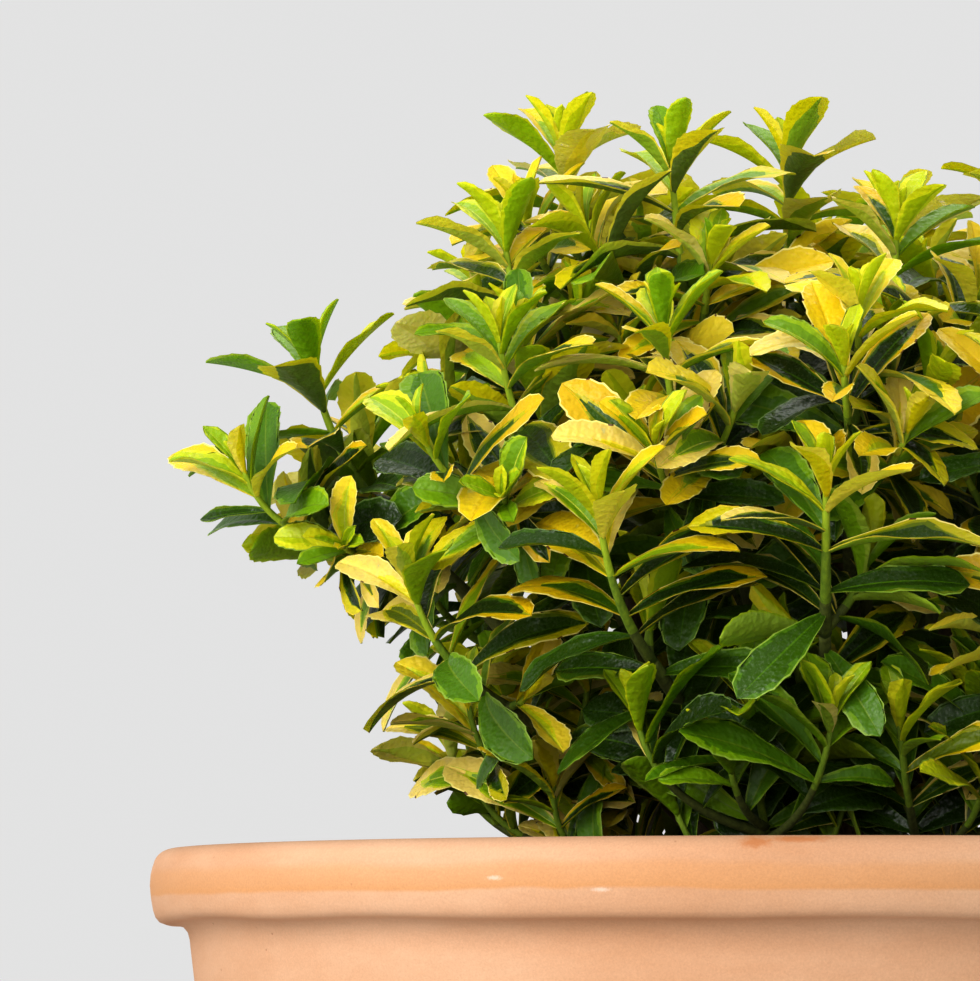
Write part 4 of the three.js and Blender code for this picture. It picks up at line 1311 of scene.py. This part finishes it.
CAMERA_PLACE = Vector((0.0, -2.2, 0.315))
CAMERA_AIM = Vector((-0.1084, 0.0, 0.4784))
FOCAL_PIXELS = 6699.0
PHOTO_WIDTH = 980
SENSOR_WIDTH = 36.0
CROWN_MIDDLE = Vector((0, 0, 0.46))
# Softboxes: place, width, height and watts
SOFTBOXES = {
    "key": ((-1.4, -1.9, 1.6), 1.3, 1.3, 47),
    "side": ((-2.6, -0.5, 0.7), 1.2, 1.2, 9),
    "front": ((-1.0, -2.6, 0.6), 1.6, 1.0, 17),
    "top": ((0.1, 0.8, 2.2), 1.6, 1.6, 17),
}
BACKGROUND = linear(232, 232, 232)
CONTRAST_GAMMA = 0.8
FLOOR_SIZE = 14


def hold(name, data, place, aim):
    """Puts a camera or a light at a place, pointing at aim."""
    holder = bpy.data.objects.new(name, data)
    holder.location = place
    holder.rotation_euler = (aim - Vector(place)).to_track_quat("-Z", "Y").to_euler()
    bpy.context.scene.collection.objects.link(holder)
    return holder


def make_camera():
    camera = bpy.data.cameras.new("camera")
    camera.sensor_fit = "HORIZONTAL"
    camera.sensor_width = SENSOR_WIDTH
    camera.lens = SENSOR_WIDTH * FOCAL_PIXELS / PHOTO_WIDTH
    camera.clip_end = 100
    bpy.context.scene.camera = hold("camera", camera, CAMERA_PLACE, CAMERA_AIM)


def make_lights():
    for name, (place, width, height, watts) in SOFTBOXES.items():
        light = bpy.data.lights.new(name, "AREA")
        light.shape = "RECTANGLE"
        light.size, light.size_y = width, height
        light.energy = watts
        hold(name, light, place, CROWN_MIDDLE)


def make_studio():
    scene = bpy.context.scene
    world = bpy.data.worlds.new("studio")
    scene.world = world
    world.use_nodes = True
    world.node_tree.nodes["Background"].inputs["Color"].default_value = BACKGROUND
    world.node_tree.nodes["Background"].inputs["Strength"].default_value = 1.0
    bpy.ops.mesh.primitive_grid_add(x_subdivisions=8, y_subdivisions=8, size=FLOOR_SIZE)
    floor = bpy.context.object
    floor.name = "floor"
    pale = Surface("pale_floor")
    pale.feed(pale.shader, {"Base Color": (0.5, 0.5, 0.495, 1), "Roughness": 0.7})
    floor.data.materials.append(pale.material)
    scene.view_settings.view_transform = "Standard"
    scene.view_settings.gamma = CONTRAST_GAMMA


make_camera()
make_lights()
make_studio()

pot = make_pot(clay_material())
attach(pot, "root")
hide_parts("pot")

soil = make_soil(compost_material())
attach(soil, "root")
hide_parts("soil")

old_bark = bark_material("old_bark", (74, 58, 40), (128, 108, 78), 420.0)
young_bark = bark_material("young_bark", (84, 88, 40), (124, 132, 62), 500.0)
olive_twig = bark_material("olive_twig", (66, 78, 22), (100, 110, 38), 600.0)
green_twig = bark_material("green_twig", (92, 120, 14), (132, 156, 30), 600.0)
fresh_twig = bark_material("fresh_twig", (130, 158, 16), (168, 186, 40), 600.0)

stem = make_stem(old_bark)
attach(stem, "root")
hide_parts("stem")

limbs = make_boughs([old_bark, young_bark])
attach(limbs, "root")
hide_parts(*[f"bough_{name}" for name in boughs])

all_leaves, shoots_of = grow_crown()
skin = [leaf_material(name, colour) for name, colour in LEAF_COLOURS.items()]
for side, words in SIDES.items():
    names = words.split()
    barks = [olive_twig, green_twig, fresh_twig]
    if side.startswith("low"):
        barks = [olive_twig, olive_twig, green_twig]
    twigs = make_twigs(side, [shoot for name in names for shoot in shoots_of[name]], barks)
    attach(twigs, "root")
    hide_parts(*[f"foliage_{name}" for name in names])
    leaves = make_leaves_piece(side, [leaf for leaf in all_leaves if leaf["mass"]["name"] in names], skin)
    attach(leaves, "root")
    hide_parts(*[f"foliage_{name}" for name in names])
